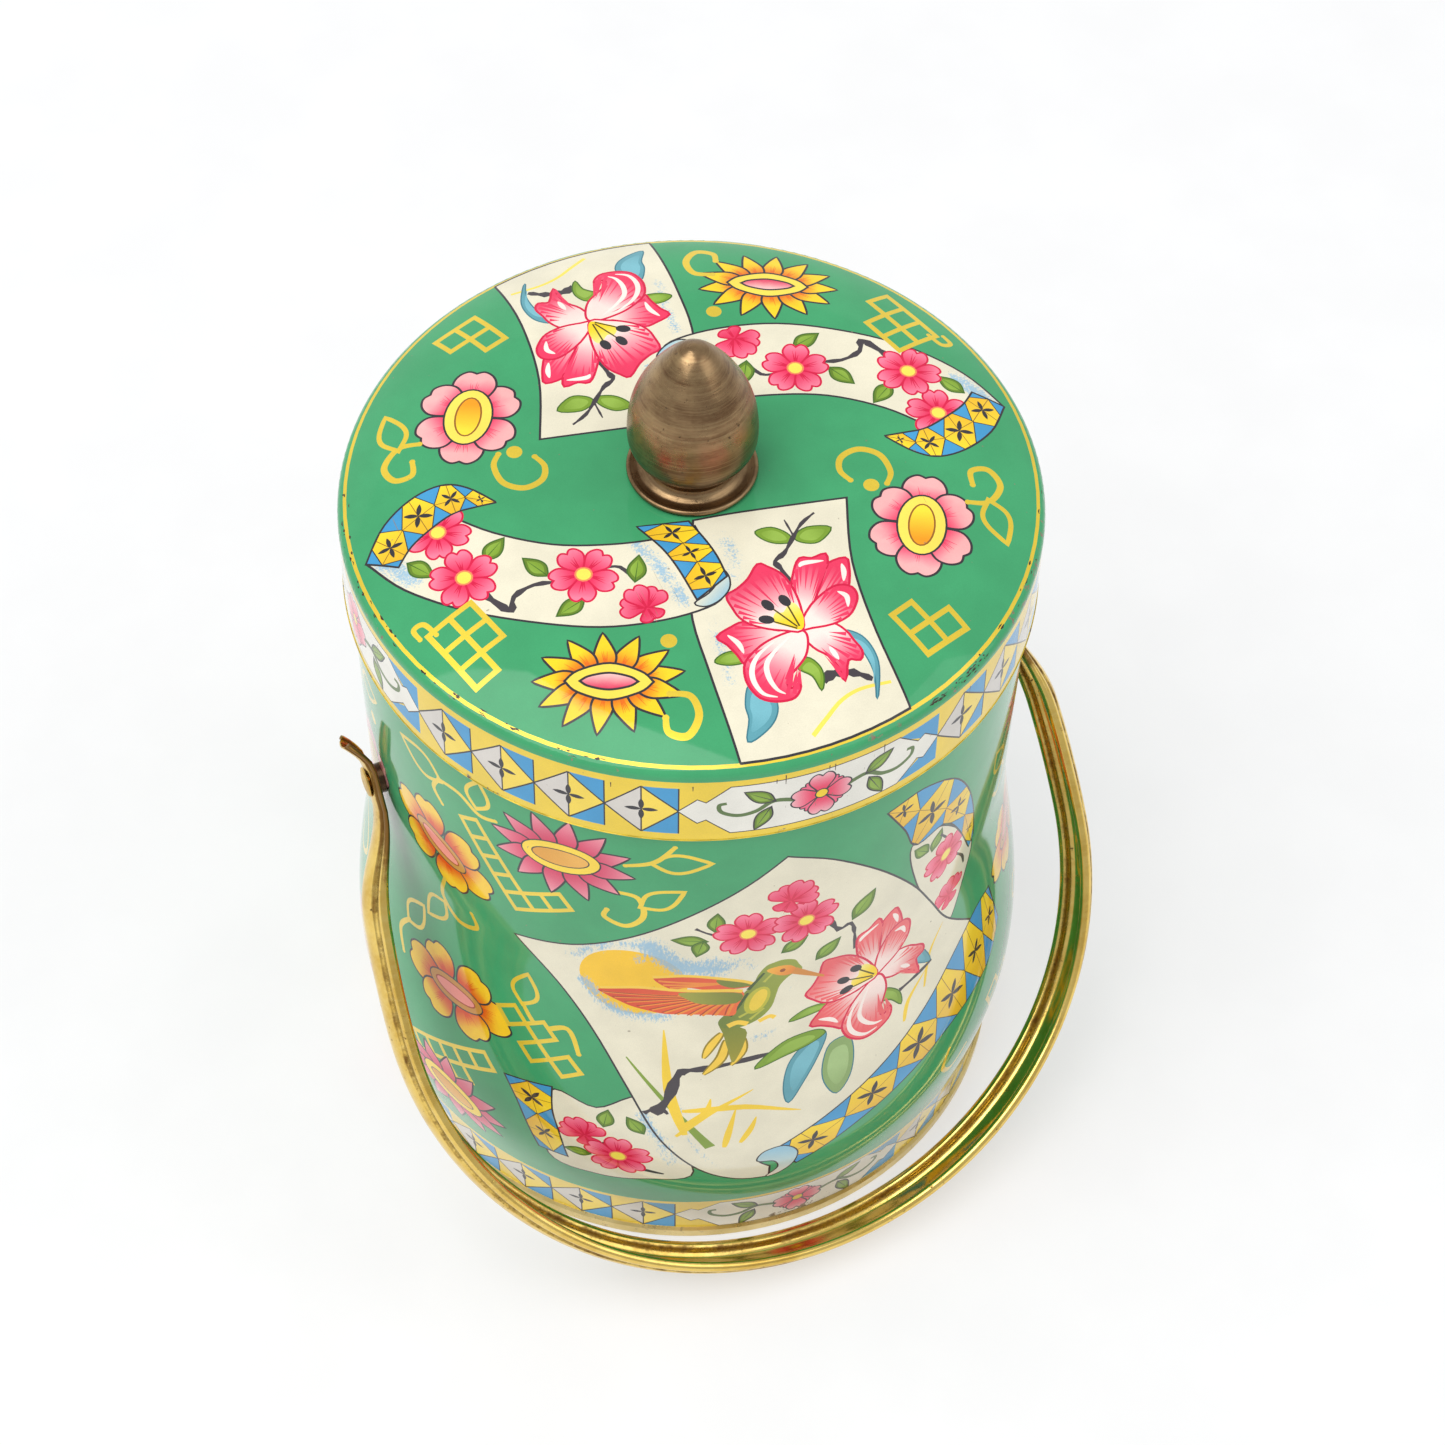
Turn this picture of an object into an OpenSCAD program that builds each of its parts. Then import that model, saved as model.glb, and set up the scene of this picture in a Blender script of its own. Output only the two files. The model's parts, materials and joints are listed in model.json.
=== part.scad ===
// Lithographed tinplate tea caddy: a waisted round body with a seamed-on base, a domed
// slip-on lid with an acorn knob, and a stamped bail handle riveted to the sides.
// Millimetres, +Z up. The origin is on the caddy's axis, in the plane it stands on.
// X runs along the bail's pivots, and the bail hangs down over the -Y side.

/* [Body] */
// Height from the table to the top of the body's curled rim
body_h = 149.4; // [140:0.1:160]
// Outside diameter of the straight neck
neck_d = 116.8; // [116:0.1:117.2]
// Outside diameter at the widest part of the belly
belly_d = 128.2; // [122:0.1:129]
// Outside diameter where the wall meets the base seam
foot_d = 121.8; // [118:0.1:122]
// Height of the widest part of the belly
belly_z = 32; // [26:1:38]
// Height where the belly's sweep ends and the straight neck begins
neck_z = 86; // [80:1:90]

/* [Lid] */
// Outside diameter of the lid at its shoulder
lid_d = 118.4; // [118.2:0.1:120]
// Height of the lid's skirt, from its hem to its shoulder
skirt_h = 18; // [14:0.5:22]
// Rise of the lid's cushioned top over its shoulder
dome_h = 5; // [3:0.1:7]
// Radius of the lid's rounded shoulder
shoulder_r = 1.8; // [1.2:0.1:3]

/* [Knob] */
// Diameter of the acorn
knob_d = 21.6; // [18:0.1:22]
// Height of the acorn's widest part over the lid's highest point
knob_belly = 9.5; // [9:0.1:11]
// Height of the acorn's tip over its widest part
knob_point = 19.5; // [14:0.5:24]
// Diameter of the pressed collar under the acorn
collar_d = 22; // [20:0.1:24]

/* [Bail handle] */
// Height of the pivots over the table
pivot_z = 97; // [95:0.5:105]
// Outside radius of the bail's round loop
loop_r = 69.5; // [68:0.5:72]
// Distance from the pivots to the centre of the loop
leg_l = 48; // [45:0.5:60]
// Width of the stamped strap
strap_w = 11.5; // [10:0.5:12]
// Depth of the strap's channel
strap_depth = 4; // [3.4:0.1:4]
// Angle below the horizontal at which the bail hangs against the body
droop = 53; // [45:0.5:53]

/* [Sheet and rivets] */
// Thickness of the tinplate
tin_t = 0.3; // [0.25:0.01:0.35]
// Thickness of the brass strip in the bail
strap_t = 0.5; // [0.4:0.05:0.7]
// Radius of the pivot rivets' shanks
rivet_r = 1.6; // [1.4:0.05:1.8]

/* [Hidden] */

$fn = 96;

// body
neck_r = neck_d / 2;
belly_r = belly_d / 2;
foot_r = foot_d / 2;
seam_h = 3;               // height of the rolled seam that joins base and wall
seam_r = foot_r + 0.6;    // outside radius of that seam
seam_w = 2;               // thickness of the seam, outside to inside
panel_z = 1.8;            // underside of the base's panel, recessed off the table
rim_curl_r = 0.9;         // the body's top edge curls inwards round this radius
profile_steps = 24;
seam_angle = 4;           // width of the wall's lock seam, in degrees round the body
seam_at = 20;             // the lock seam is this many degrees behind the +X pivot
lock_seam_out = 0.2;      // how far the lock seam stands out of the wall
lock_seam_in = 0.5;       // and into the caddy

// lid
lid_r = lid_d / 2;
lid_gap = 0.3;                          // between the body's rim and the lid's underside
shoulder_top = body_h + lid_gap + tin_t;
shoulder_z = shoulder_top - shoulder_r; // centre of the shoulder's arc
hem_z = shoulder_top - skirt_h;         // lowest edge of the skirt
hem_r = 0.45;                           // the skirt's edge rolls outwards round this radius
skirt_draft = 0.3;                      // the skirt is this much wider at its hem
dome_power = 6;                         // high, so the top is flat and rounds over near its edge
shoulder_start = 62;                    // degrees above level where the shoulder's arc begins
dome_edge_r = lid_r - shoulder_r * (1 - cos(shoulder_start));
dome_edge_z = shoulder_z + shoulder_r * sin(shoulder_start);
seat_r = 12;                            // flat seat for the knob, in the middle
lid_top = dome_edge_z + dome_height(seat_r);
dome_steps = 18;
shoulder_steps = 5;
bead_overlap = 0.08;                    // how far the hem's bead bites into the skirt

// knob
screw_r = 2;
fit_gap = 0.05;                    // running clearance round a shank
collar_h = 2.4;
collar_plate = 0.8;                // thickness of the collar's flat rim
collar_ring_r = collar_d / 2 - 1.5;
knob_seat_z = lid_top + collar_h - 1;  // the acorn stands in the collar's ring
knob_r = knob_d / 2;
knob_centre = lid_top + knob_belly;
washer_r = 6;
washer_t = 0.8;
screw_reach = 12;

// bail
pivot_x = neck_r;
blade_gap = 1.2;                   // between the wall and the strap's flattened end
blade_t = 1.6;
blade_w = 10;
blade_tip = 7.5;                   // the flattened end's length past the pivot
blade_root = 7;                    // where the flattened end meets the channel's taper
blade_corner = 1.7;                // its end's corners are rounded by this much
tip_flare = 2.9;                   // how far its end leans out from the wall
flare_start = 3;                   // where that begins, past the pivot
flare_steps = 8;
leg_start = 22;                    // where the full channel begins
leg_bend_r = 225;                  // the legs bow inwards on this radius
leg_angle = asin((leg_l - leg_start) / leg_bend_r);
leg_lap = 0.25;                    // degrees that each leg reaches into the loop
leg_inset = 0.03;                  // the legs are this much finer, so they end inside it
bead_r = 1.05;                     // the strap's edges are rolled round this radius
web_half = strap_w / 2 - bead_r;
web_rise = strap_depth - 2 * bead_r + strap_t / 2;
web_r = (web_half * web_half + web_rise * web_rise) / (2 * web_rise);
joint_lap = 1.6;                   // how far the taper reaches into the channel
rivet_head_r = 2.8;
rivet_head_h = 0.5;
rivet_shoulder_r = 2.7;
rivet_washer_t = 0.6;
wall_in = sqrt(pow(neck_r - tin_t, 2) - pow(rivet_head_r, 2)) - 0.02;

TIN_GREEN = [0.30, 0.66, 0.45];
TIN_GOLD = [0.83, 0.68, 0.30];
BRASS = [0.79, 0.62, 0.27];
OLD_BRASS = [0.42, 0.32, 0.20];
STEEL = [0.72, 0.72, 0.70];

// Radius of the body's outside at height z: foot, belly and neck joined by cosine sweeps
function ease(t) = (1 - cos(180 * t)) / 2;
function wall_r(z) =
    z < belly_z ? foot_r + (belly_r - foot_r) * ease((z - seam_h) / (belly_z - seam_h))
    : z < neck_z ? belly_r + (neck_r - belly_r) * ease((z - belly_z) / (neck_z - belly_z))
    : neck_r;

// Height of the lid's top over its edge, at radius r
function dome_height(r) = dome_h * (1 - pow(r / dome_edge_r, dome_power));

// Heights along the wall, close together where it curves
wall_heights = concat(
    [for (i = [0 : profile_steps]) seam_h + (neck_z - seam_h) * i / profile_steps],
    [body_h - rim_curl_r]);

// Section of a sheet that follows the wall, between two offsets from its outside
module wall_section(out, in) {
    polygon(concat(
        [for (z = wall_heights) [wall_r(z) + out, z]],
        [for (i = [len(wall_heights) - 1 : -1 : 0])
            [wall_r(wall_heights[i]) - in, wall_heights[i]]]));
}

// A hole or shank along X through both sides, at the pivots' height
module pivot_bore(r, x0, x1) {
    translate([x0, 0, pivot_z]) rotate([0, 90, 0]) cylinder(r = r, h = x1 - x0);
}

module body_wall() {
    color(TIN_GREEN) difference() {
        union() {
            rotate_extrude() wall_section(0, tin_t);
            rotate_extrude()
                translate([neck_r - rim_curl_r, body_h - rim_curl_r]) circle(r = rim_curl_r);
            rotate([0, 0, seam_at - seam_angle / 2])
                rotate_extrude(angle = seam_angle) wall_section(lock_seam_out, tin_t + lock_seam_in);
        }
        pivot_bore(rivet_r + fit_gap, -neck_r - 2, neck_r + 2);
    }
}

module body_base() {
    seam_round = seam_w / 2;
    color(TIN_GOLD) rotate_extrude() union() {
        polygon([
            [0, panel_z], [seam_r - seam_w - 2.5, panel_z],
            [seam_r - seam_w - 1.5, panel_z + 0.6], [seam_r - seam_w, panel_z + 0.6],
            [seam_r - seam_w, 0.4], [seam_r - seam_w + 0.4, 0],
            [seam_r - 0.4, 0], [seam_r, 0.4],
            [seam_r, seam_h - 0.5], [seam_r - 0.5, seam_h],
            [seam_r - seam_w, seam_h], [seam_r - seam_w, panel_z + 0.6 + tin_t],
            [seam_r - seam_w - 1.8, panel_z + 0.6 + tin_t],
            [seam_r - seam_w - 2.8, panel_z + tin_t], [0, panel_z + tin_t]]);
    }
}

// The lid's section, moved inwards by off, from the centre of the top to the hem. The inner
// line leaves out the top's last point, where the sheet's thickness takes up the bend.
function lid_line(off) = concat(
    [[0, lid_top - off]],
    [for (i = [0 : dome_steps - (off > 0 ? 1 : 0)])
        let (r = seat_r + (dome_edge_r - seat_r) * i / dome_steps)
            [r, dome_edge_z + dome_height(r) - off]],
    [for (i = [0 : shoulder_steps])
        let (a = shoulder_start * (1 - i / shoulder_steps))
            [lid_r - shoulder_r + (shoulder_r - off) * cos(a),
             shoulder_z + (shoulder_r - off) * sin(a)]],
    [[lid_r + skirt_draft - off, hem_z + hem_r]]);

module lid_shell() {
    outside = lid_line(0);
    inside = lid_line(tin_t);
    color(TIN_GREEN) difference() {
        union() {
            rotate_extrude() polygon(concat(
                outside, [for (i = [len(inside) - 1 : -1 : 0]) inside[i]]));
            rotate_extrude()
                translate([lid_r + skirt_draft - tin_t - bead_overlap + hem_r, hem_z + hem_r])
                    circle(r = hem_r);
        }
        translate([0, 0, lid_top - 5]) cylinder(r = screw_r + 0.2, h = 10);
    }
}

// The acorn: a ball below, cut flat to stand on, and above it a dome that draws in to a point
module knob() {
    steps = 14;
    foot_angle = asin((knob_centre - knob_seat_z) / knob_r);
    below = [for (i = [-6 : 0])
        let (a = foot_angle * i / 6) [knob_r * cos(a), knob_centre + knob_r * sin(a)]];
    above = [for (i = [1 : steps - 1])
        let (u = i / steps) [knob_r * pow(1 - u * u, 0.62), knob_centre + knob_point * u]];
    color(OLD_BRASS) difference() {
        rotate_extrude() polygon(concat(
            [[0, knob_seat_z]], below, above, [[0, knob_centre + knob_point]]));
        translate([0, 0, lid_top]) cylinder(r = screw_r + fit_gap, h = screw_reach);
    }
}

// A pressed collar: a flat plate on the lid, with a raised ring that the acorn sits in
module knob_collar() {
    plate_r = collar_d / 2;
    bevel = 0.3;
    color(OLD_BRASS) difference() {
        translate([0, 0, lid_top]) rotate_extrude() polygon([
            [0, 0], [plate_r - bevel, 0], [plate_r, bevel],
            [plate_r, collar_plate], [collar_ring_r, collar_plate],
            [collar_ring_r, collar_h - bevel], [collar_ring_r - bevel, collar_h],
            [collar_ring_r - 1, collar_h], [collar_ring_r - 1.6, collar_h - 1],
            [0, collar_h - 1]]);
        translate([0, 0, lid_top - 1]) cylinder(r = screw_r + 0.2, h = 5);
    }
}

module knob_washer() {
    top = lid_top - tin_t - 0.1;
    color(STEEL) difference() {
        translate([0, 0, top - washer_t]) cylinder(r = washer_r, h = washer_t);
        translate([0, 0, top - 2]) cylinder(r = screw_r + 0.2, h = 4);
    }
}

module knob_screw() {
    head_top = lid_top - tin_t - 0.1 - washer_t;
    head_h = 2.2;
    slot_w = 0.8;
    color(STEEL) union() {
        translate([0, 0, head_top - 0.1]) cylinder(r = screw_r, h = screw_reach + 0.9);
        difference() {
            translate([0, 0, head_top - head_h]) rotate_extrude() union() {
                polygon([[0, 0], [2.9, 0], [3.7, 0.5], [4, 1.2], [4, head_h], [0, head_h]]);
            }
            translate([-5, -slot_w / 2, head_top - head_h - 1]) cube([10, slot_w, 2]);
        }
    }
}

// The strap's section: an outward-bowed web with a rolled bead along each edge. r is the
// radius to the strap's outside, y runs across it, and inset shrinks it all round.
module strap_section(r, inset = 0) {
    for (side = [-1, 1])
        translate([r - strap_depth + bead_r, side * web_half]) circle(r = bead_r - inset);
    intersection() {
        translate([r - web_r, 0]) difference() {
            circle(r = web_r - inset);
            circle(r = web_r - strap_t + inset);
        }
        translate([r - web_rise - strap_t / 2, -web_half]) square([web_rise + strap_t, 2 * web_half]);
    }
}

// How far the flattened end leans out, t past the pivot
function flare(t) = tip_flare * pow(max(0, t - flare_start) / (blade_tip - flare_start), 1.5);

// One flattened end of the bail, for the +X side: a flared tongue with the pivot's hole, and
// a short taper that opens into the channel. y is the way to the loop.
module strap_end() {
    blade_in = pivot_x + blade_gap;
    leg_x = loop_r - leg_bend_r * (1 - cos(leg_angle));
    bends = [for (i = [0:flare_steps])
        flare_start + (blade_tip - flare_start) * i / flare_steps];
    inner_side = [for (t = bends) [blade_in + flare(t), -t]];
    outer_side = [for (t = bends) [blade_in + blade_t + flare(t), -t]];
    side_view = concat([[blade_in, blade_root]], inner_side,
        [for (i = [flare_steps:-1:0]) outer_side[i]], [[blade_in + blade_t, blade_root]]);
    difference() {
        union() {
            intersection() {
                translate([0, 0, -blade_w]) linear_extrude(2 * blade_w) polygon(side_view);
                translate([blade_in - 1, 0, 0]) rotate([0, 90, 0])
                    linear_extrude(blade_t + tip_flare + 2) offset(r = blade_corner)
                        translate([-blade_w / 2 + blade_corner, -blade_tip + blade_corner])
                            square([blade_w - 2 * blade_corner, blade_root + blade_tip]);
            }
            hull() {
                translate([blade_in, blade_root - 1, -blade_w / 2]) cube([blade_t, 1, blade_w]);
                translate([leg_x - strap_depth, leg_start, -web_half])
                    cube([strap_depth, joint_lap, 2 * web_half]);
            }
        }
        translate([blade_in - 1, 0, 0]) rotate([0, 90, 0])
            cylinder(r = rivet_r + fit_gap, h = blade_t + 2);
    }
}

// The whole bail in its own plane, pivots on X and the loop out along +Y
module bail_flat() {
    translate([0, leg_l, 0]) rotate_extrude(angle = 180) strap_section(loop_r);
    for (side = [0, 1]) mirror([side, 0, 0]) {
        translate([loop_r - leg_bend_r, leg_l, 0]) rotate([0, 0, -leg_angle])
            rotate_extrude(angle = leg_angle + leg_lap) strap_section(leg_bend_r, leg_inset);
        strap_end();
    }
}

module bail_handle() {
    color(BRASS) translate([0, 0, pivot_z]) rotate([droop, 0, 0])
        mirror([0, 1, 0]) bail_flat();
}

// A shouldered rivet for the +X side, headed outside and clenched inside the wall
module pivot_rivet() {
    shank_in = wall_in - rivet_washer_t;
    head_x = pivot_x + blade_gap + blade_t + 0.15;
    color(BRASS) union() {
        pivot_bore(rivet_r, shank_in - 0.1, head_x + 0.1);
        pivot_bore(rivet_shoulder_r, pivot_x + 0.02, pivot_x + blade_gap - 0.1);
        translate([head_x, 0, pivot_z]) rotate([0, 90, 0])
            rotate_extrude() polygon([
                [0, 0], [rivet_head_r, 0], [rivet_head_r - 0.2, 0.45 * rivet_head_h],
                [rivet_head_r * 0.6, 0.85 * rivet_head_h], [0, rivet_head_h]]);
        translate([shank_in, 0, pivot_z]) rotate([0, -90, 0])
            rotate_extrude() polygon([[0, 0], [2.4, 0], [2, 0.5], [0, 0.7]]);
    }
}

module rivet_washer() {
    color(STEEL) difference() {
        pivot_bore(rivet_head_r, wall_in - rivet_washer_t, wall_in);
        pivot_bore(rivet_r + fit_gap, wall_in - 2, wall_in + 2);
    }
}

module right_pivot_rivet() { pivot_rivet(); }
module left_pivot_rivet() { mirror([1, 0, 0]) pivot_rivet(); }
module right_rivet_washer() { rivet_washer(); }
module left_rivet_washer() { mirror([1, 0, 0]) rivet_washer(); }

body_wall();
body_base();
lid_shell();
knob();
knob_collar();
knob_screw();
knob_washer();
bail_handle();
left_pivot_rivet();
right_pivot_rivet();
left_rivet_washer();
right_rivet_washer();
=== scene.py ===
"""A lithographed tinplate tea caddy with a lift-off lid, an acorn knob and a swinging brass bail."""

import cmath
import json
import math
import random

import bmesh
import bpy
import numpy as np
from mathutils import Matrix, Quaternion, Vector
from mathutils.geometry import delaunay_2d_cdt


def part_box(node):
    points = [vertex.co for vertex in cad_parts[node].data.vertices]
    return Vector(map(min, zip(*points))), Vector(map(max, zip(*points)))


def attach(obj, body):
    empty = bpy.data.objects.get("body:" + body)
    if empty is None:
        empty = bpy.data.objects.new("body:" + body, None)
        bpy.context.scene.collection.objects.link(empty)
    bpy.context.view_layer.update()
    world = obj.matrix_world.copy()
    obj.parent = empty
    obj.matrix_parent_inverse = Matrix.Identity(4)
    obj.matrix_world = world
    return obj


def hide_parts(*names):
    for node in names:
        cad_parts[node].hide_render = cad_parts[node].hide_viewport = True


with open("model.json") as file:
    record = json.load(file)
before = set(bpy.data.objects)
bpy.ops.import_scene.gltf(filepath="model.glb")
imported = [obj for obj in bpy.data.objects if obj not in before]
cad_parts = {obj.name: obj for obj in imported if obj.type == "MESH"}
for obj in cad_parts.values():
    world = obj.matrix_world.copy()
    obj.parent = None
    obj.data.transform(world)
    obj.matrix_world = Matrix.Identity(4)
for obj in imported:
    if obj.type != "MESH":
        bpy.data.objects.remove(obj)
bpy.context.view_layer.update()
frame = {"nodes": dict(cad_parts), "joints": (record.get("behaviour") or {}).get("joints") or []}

MM = 0.001
dice = random.Random(7)


def cad_box(node):
    """Lowest and highest corner of a CAD node, in millimetres."""
    low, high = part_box(node)
    return low / MM, high / MM


# ---------------------------------------------------------------- sizes, in millimetres

WALL_LOW, WALL_HIGH = cad_box("body_wall")
LID_LOW, LID_HIGH = cad_box("lid_shell")
KNOB_LOW, KNOB_HIGH = cad_box("knob")
COLLAR_LOW, COLLAR_HIGH = cad_box("knob_collar")
BAIL_HIGH = cad_box("bail_handle")[1]
SWING = next(j for j in frame["joints"] if j["name"] == "handle_swing")

TIN_T = 0.3  # tinplate
FOOT_R = 60.9  # the wall's radius where it meets the base seam
BELLY_R = WALL_HIGH.x
BELLY_Z = 32  # height of the belly's widest line
NECK_R = 58.4
NECK_Z = 86  # the wall is straight from here up
RIM_CURL_R = 0.9  # the wall's top edge curls in round this radius
SEAM_AZIMUTH = 110  # the wall's lock seam, in degrees round from the front (-Y)
SEAM_HALF = 2.1  # half the seam's width
SEAM_SLOPE = 0.35  # width of the slope along each edge of the seam
SEAM_RISE = 0.2

LID_R = 59.2
SHOULDER_R = 1.8
SHOULDER_START = math.radians(62)  # the shoulder's arc meets the dome this far above level
DOME_H = 5
DOME_POWER = 6  # the higher this is, the flatter the dome's middle
HEM_R = 0.45
HEM_STEP = 0.12  # how far the hem stands out from the skirt
SKIRT_DRAFT = 0.3  # the skirt is this much wider at its hem
SCREW_HOLE_R = 2.2
EDGE_R = LID_R - SHOULDER_R * (1 - math.cos(SHOULDER_START))  # where dome and shoulder meet
SHOULDER_Z = LID_HIGH.z - DOME_H - SHOULDER_R * math.sin(SHOULDER_START)

ART_R = 60  # a millimetre of the wall's artwork is a millimetre on this radius
ROUND = 2 * math.pi * ART_R
COLUMNS = 240  # faces round a plain ring of sheet metal
RIGHT = math.radians(SEAM_AZIMUTH) * ART_R  # the artwork's two ends meet at the lock seam
LEFT = RIGHT - ROUND

# ---------------------------------------------------------------- inks, in sRGB and a share of metal

GREEN = (66, 160, 106, 0)
CREAM = (232, 225, 200, 0)
WHITE = (236, 233, 222, 0)
LINE = (56, 54, 58, 0)
GOLD = (238, 206, 66, 0.4)
YELLOW = (250, 212, 40, 0)
ORANGE = (232, 112, 28, 0)
RED = (216, 30, 72, 0)
ROSE = (240, 66, 102, 0)
PINK = (243, 104, 136, 0)
PALE_PINK = (250, 178, 176, 0)
BLUE = (70, 154, 204, 0)
PALE_BLUE = (150, 196, 216, 0)
LEAF = (126, 160, 50, 0)
DARK_LEAF = (70, 108, 38, 0)
TEAL = (96, 160, 172, 0)
DEEP_TEAL = (62, 122, 136, 0)
BARK = (72, 66, 70, 0)
SUN = (246, 196, 40, 0)


class Ink:
    """A colour that may run to another between two points. Blue dust shows on chalky ones only."""

    def __init__(self, colour, far=None, start=0j, end=1 + 0j):
        self.colour, self.far, self.start, self.end = colour, far or colour, start, end
        self.chalky = colour in (CREAM, SUN)

    def moved(self, place):
        return Ink(self.colour, self.far, place(self.start), place(self.end))

    def at(self, points):
        """Colours at an array of points."""
        along = self.end - self.start
        share = ((points - self.start) * np.conj(along)).real / abs(along) ** 2
        share = np.clip(share, 0, 1)[..., None]
        return np.array(self.colour) * (1 - share) + np.array(self.far) * share


# ---------------------------------------------------------------- drawing, in complex numbers of mm
# A motif is a list of (outline, ink), each laid over the ones before it.


def polar(length, degrees):
    return cmath.rect(length, math.radians(degrees))


def spline(points, steps=5, closed=False):
    """A smooth curve through the points."""
    n = len(points)
    out = []
    for i in range(n if closed else n - 1):
        a = points[i - 1] if closed or i else points[0]
        b = points[i]
        c = points[(i + 1) % n]
        d = points[(i + 2) % n] if closed or i + 2 < n else points[-1]
        for s in range(steps):
            t = s / steps
            bend = (2 * a - 5 * b + 4 * c - d) * t * t + (3 * b - a - 3 * c + d) * t**3
            out.append(0.5 * (2 * b + (c - a) * t + bend))
    return out if closed else out + [points[-1]]


def ellipse(rx, ry=None, steps=24):
    ry = ry or rx
    angles = [2 * math.pi * i / steps for i in range(steps)]
    return [complex(rx * math.cos(a), ry * math.sin(a)) for a in angles]


def ribbon(path, width):
    """A line along path. width(t) is its width, with t from 0 at the start to 1 at the end."""
    left, right = [], []
    last = len(path) - 1
    for i, p in enumerate(path):
        ahead = path[min(i + 1, last)] - path[max(i - 1, 0)]
        side = 1j * ahead / abs(ahead) * width(i / last) / 2
        left.append(p + side)
        right.append(p - side)
    return left + right[::-1]


def grow(outline, by):
    """The outline moved outwards by that much, with its sharpest corners cut short."""
    loop = [p for i, p in enumerate(outline) if abs(p - outline[i - 1]) > 1e-4]
    area = sum((a.conjugate() * b).imag for a, b in zip(loop, loop[1:] + loop[:1]))
    turn = -1j if area > 0 else 1j
    out = []
    for i, p in enumerate(loop):
        before = p - loop[i - 1]
        after = loop[(i + 1) % len(loop)] - p
        normal = turn * (before / abs(before) + after / abs(after))
        out.append(p + by * normal * min(2 / max(abs(normal) ** 2, 0.1), 1.5))
    return out


def moved(motif, at=0j, turn=0, size=1, stretch=1, flip=False):
    """A copy of the motif, stretched along x, mirrored, scaled, turned and put at a point."""
    spin = polar(size, turn)

    def place(p):
        return complex(p.real * stretch, -p.imag if flip else p.imag) * spin + at

    return [([place(p) for p in outline], ink.moved(place)) for outline, ink in motif]


def placed(*things):
    """Copies of motifs, each put at its own point and turned: (motif, point, turn)."""
    return [part for motif, at, turn in things for part in moved(motif, at, turn)]


def edged(outline, ink, line=LINE, width=0.4):
    """A shape with a line round it."""
    return [(grow(outline, width), Ink(line)), (outline, ink)]


def line(points, colour=LINE, width=0.35, taper=0.0):
    """A smooth line through the points, finer at its end by that share."""
    path = spline(points)
    return [(ribbon(path, lambda t: width * (1 - taper * t)), Ink(colour))]


NOTCHED = (0.3 + 0.5j, 0.66 + 1j, 0.92 + 0.8j, 1 + 0.38j, 0.87 + 0j)
POINTED = (0.18 + 0.75j, 0.42 + 1j, 0.72 + 0.58j, 1 + 0j)
LOBED = (0.2 + 0.62j, 0.55 + 1j, 0.84 + 0.84j, 0.99 + 0.4j, 0.93 + 0j)


def petal(shape, length, half_width, steps=4):
    """An outline along +x from 0. shape is its upper half, as shares of its length and half width."""
    half = spline([0j] + [complex(p.real * length, p.imag * half_width) for p in shape], steps)
    return half + [p.conjugate() for p in half[-2:0:-1]]


def blob(points, ink, steps=3):
    """A smooth closed shape through the points."""
    return [(spline(points, steps, closed=True), ink)]


def streaks(count, spread, inner, outer, colour, width):
    """Fine lines that fan out from the foot of a petal along +x."""
    motif = []
    for i in range(count):
        turn = spread * (2 * (i + 0.5) / count - 1)
        reach = outer * (0.8 + 0.4 * dice.random())
        path = [polar(inner, turn * 0.6), polar(reach, turn)]
        motif.append((ribbon(path, lambda t: width * (1.1 - t)), Ink(colour)))
    return motif


def around_oval(count, inner, outer, draw, first=0.0):
    """Petals that stand on one oval and reach another. draw(length) draws a petal along +x."""
    motif = []
    for i in range(count):
        angle = 2 * math.pi * (i + first) / count
        foot = complex(inner.real * math.cos(angle), inner.imag * math.sin(angle))
        tip = complex(outer.real * math.cos(angle), outer.imag * math.sin(angle))
        motif += moved(draw(abs(tip - foot)), at=foot, turn=math.degrees(cmath.phase(tip - foot)))
    return motif


def rosette(count, one, first=0.0):
    """Copies of a petal motif all round 0."""
    motif = []
    for i in range(count):
        motif += moved(one, turn=first + 360 * i / count)
    return motif


def blossom(radius):
    """A five-petalled cherry blossom."""
    glow = Ink((232, 50, 92, 0), (248, 128, 154, 0), 0.3 * radius + 0j, 0.9 * radius + 0j)
    one = edged(petal(NOTCHED, radius, radius * 0.38), glow, RED, 0.36)
    one += streaks(3, 12, 0.3 * radius, radius * 0.72, RED, 0.3)
    motif = rosette(5, one, 90)
    motif += edged(ellipse(radius * 0.22, steps=14), Ink((250, 226, 90, 0)), (236, 140, 90, 0), 0.3)
    return motif


def bud(size):
    """A half-open blossom: three petals behind a short one."""
    motif = []
    for turn, length in ((150, 0.9), (34, 0.9), (92, 1.0), (270, 0.55)):
        glow = Ink((232, 50, 92, 0), (248, 128, 154, 0), 0.2 * size + 0j, size + 0j)
        one = edged(petal(NOTCHED, size * length, size * 0.42), glow, RED, 0.34)
        one += streaks(3, 12, 0.3, size * 0.6, RED, 0.3)
        motif += moved(one, turn=turn)
    return motif


def leaf(length, width, ink=LEAF, edge=DARK_LEAF):
    """A leaf along +x, darker at its edge, with a vein."""
    shape = (0.3 + 0.9j, 0.62 + 0.85j, 1 + 0j)
    outline = petal(shape, length, width / 2)
    light = tuple(min(255, c + 22) for c in ink[:3]) + (0,)
    core = [0.12 * length + 0.76 * p for p in outline]
    motif = edged(outline, Ink(tuple(0.82 * c for c in ink)), edge, 0.28)
    motif += [(core, Ink(light, ink, complex(0, width / 2), complex(0, -width / 3)))]
    motif += line([0j, complex(length * 0.85, 0)], edge, 0.22, 0.8)
    return motif


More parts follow.
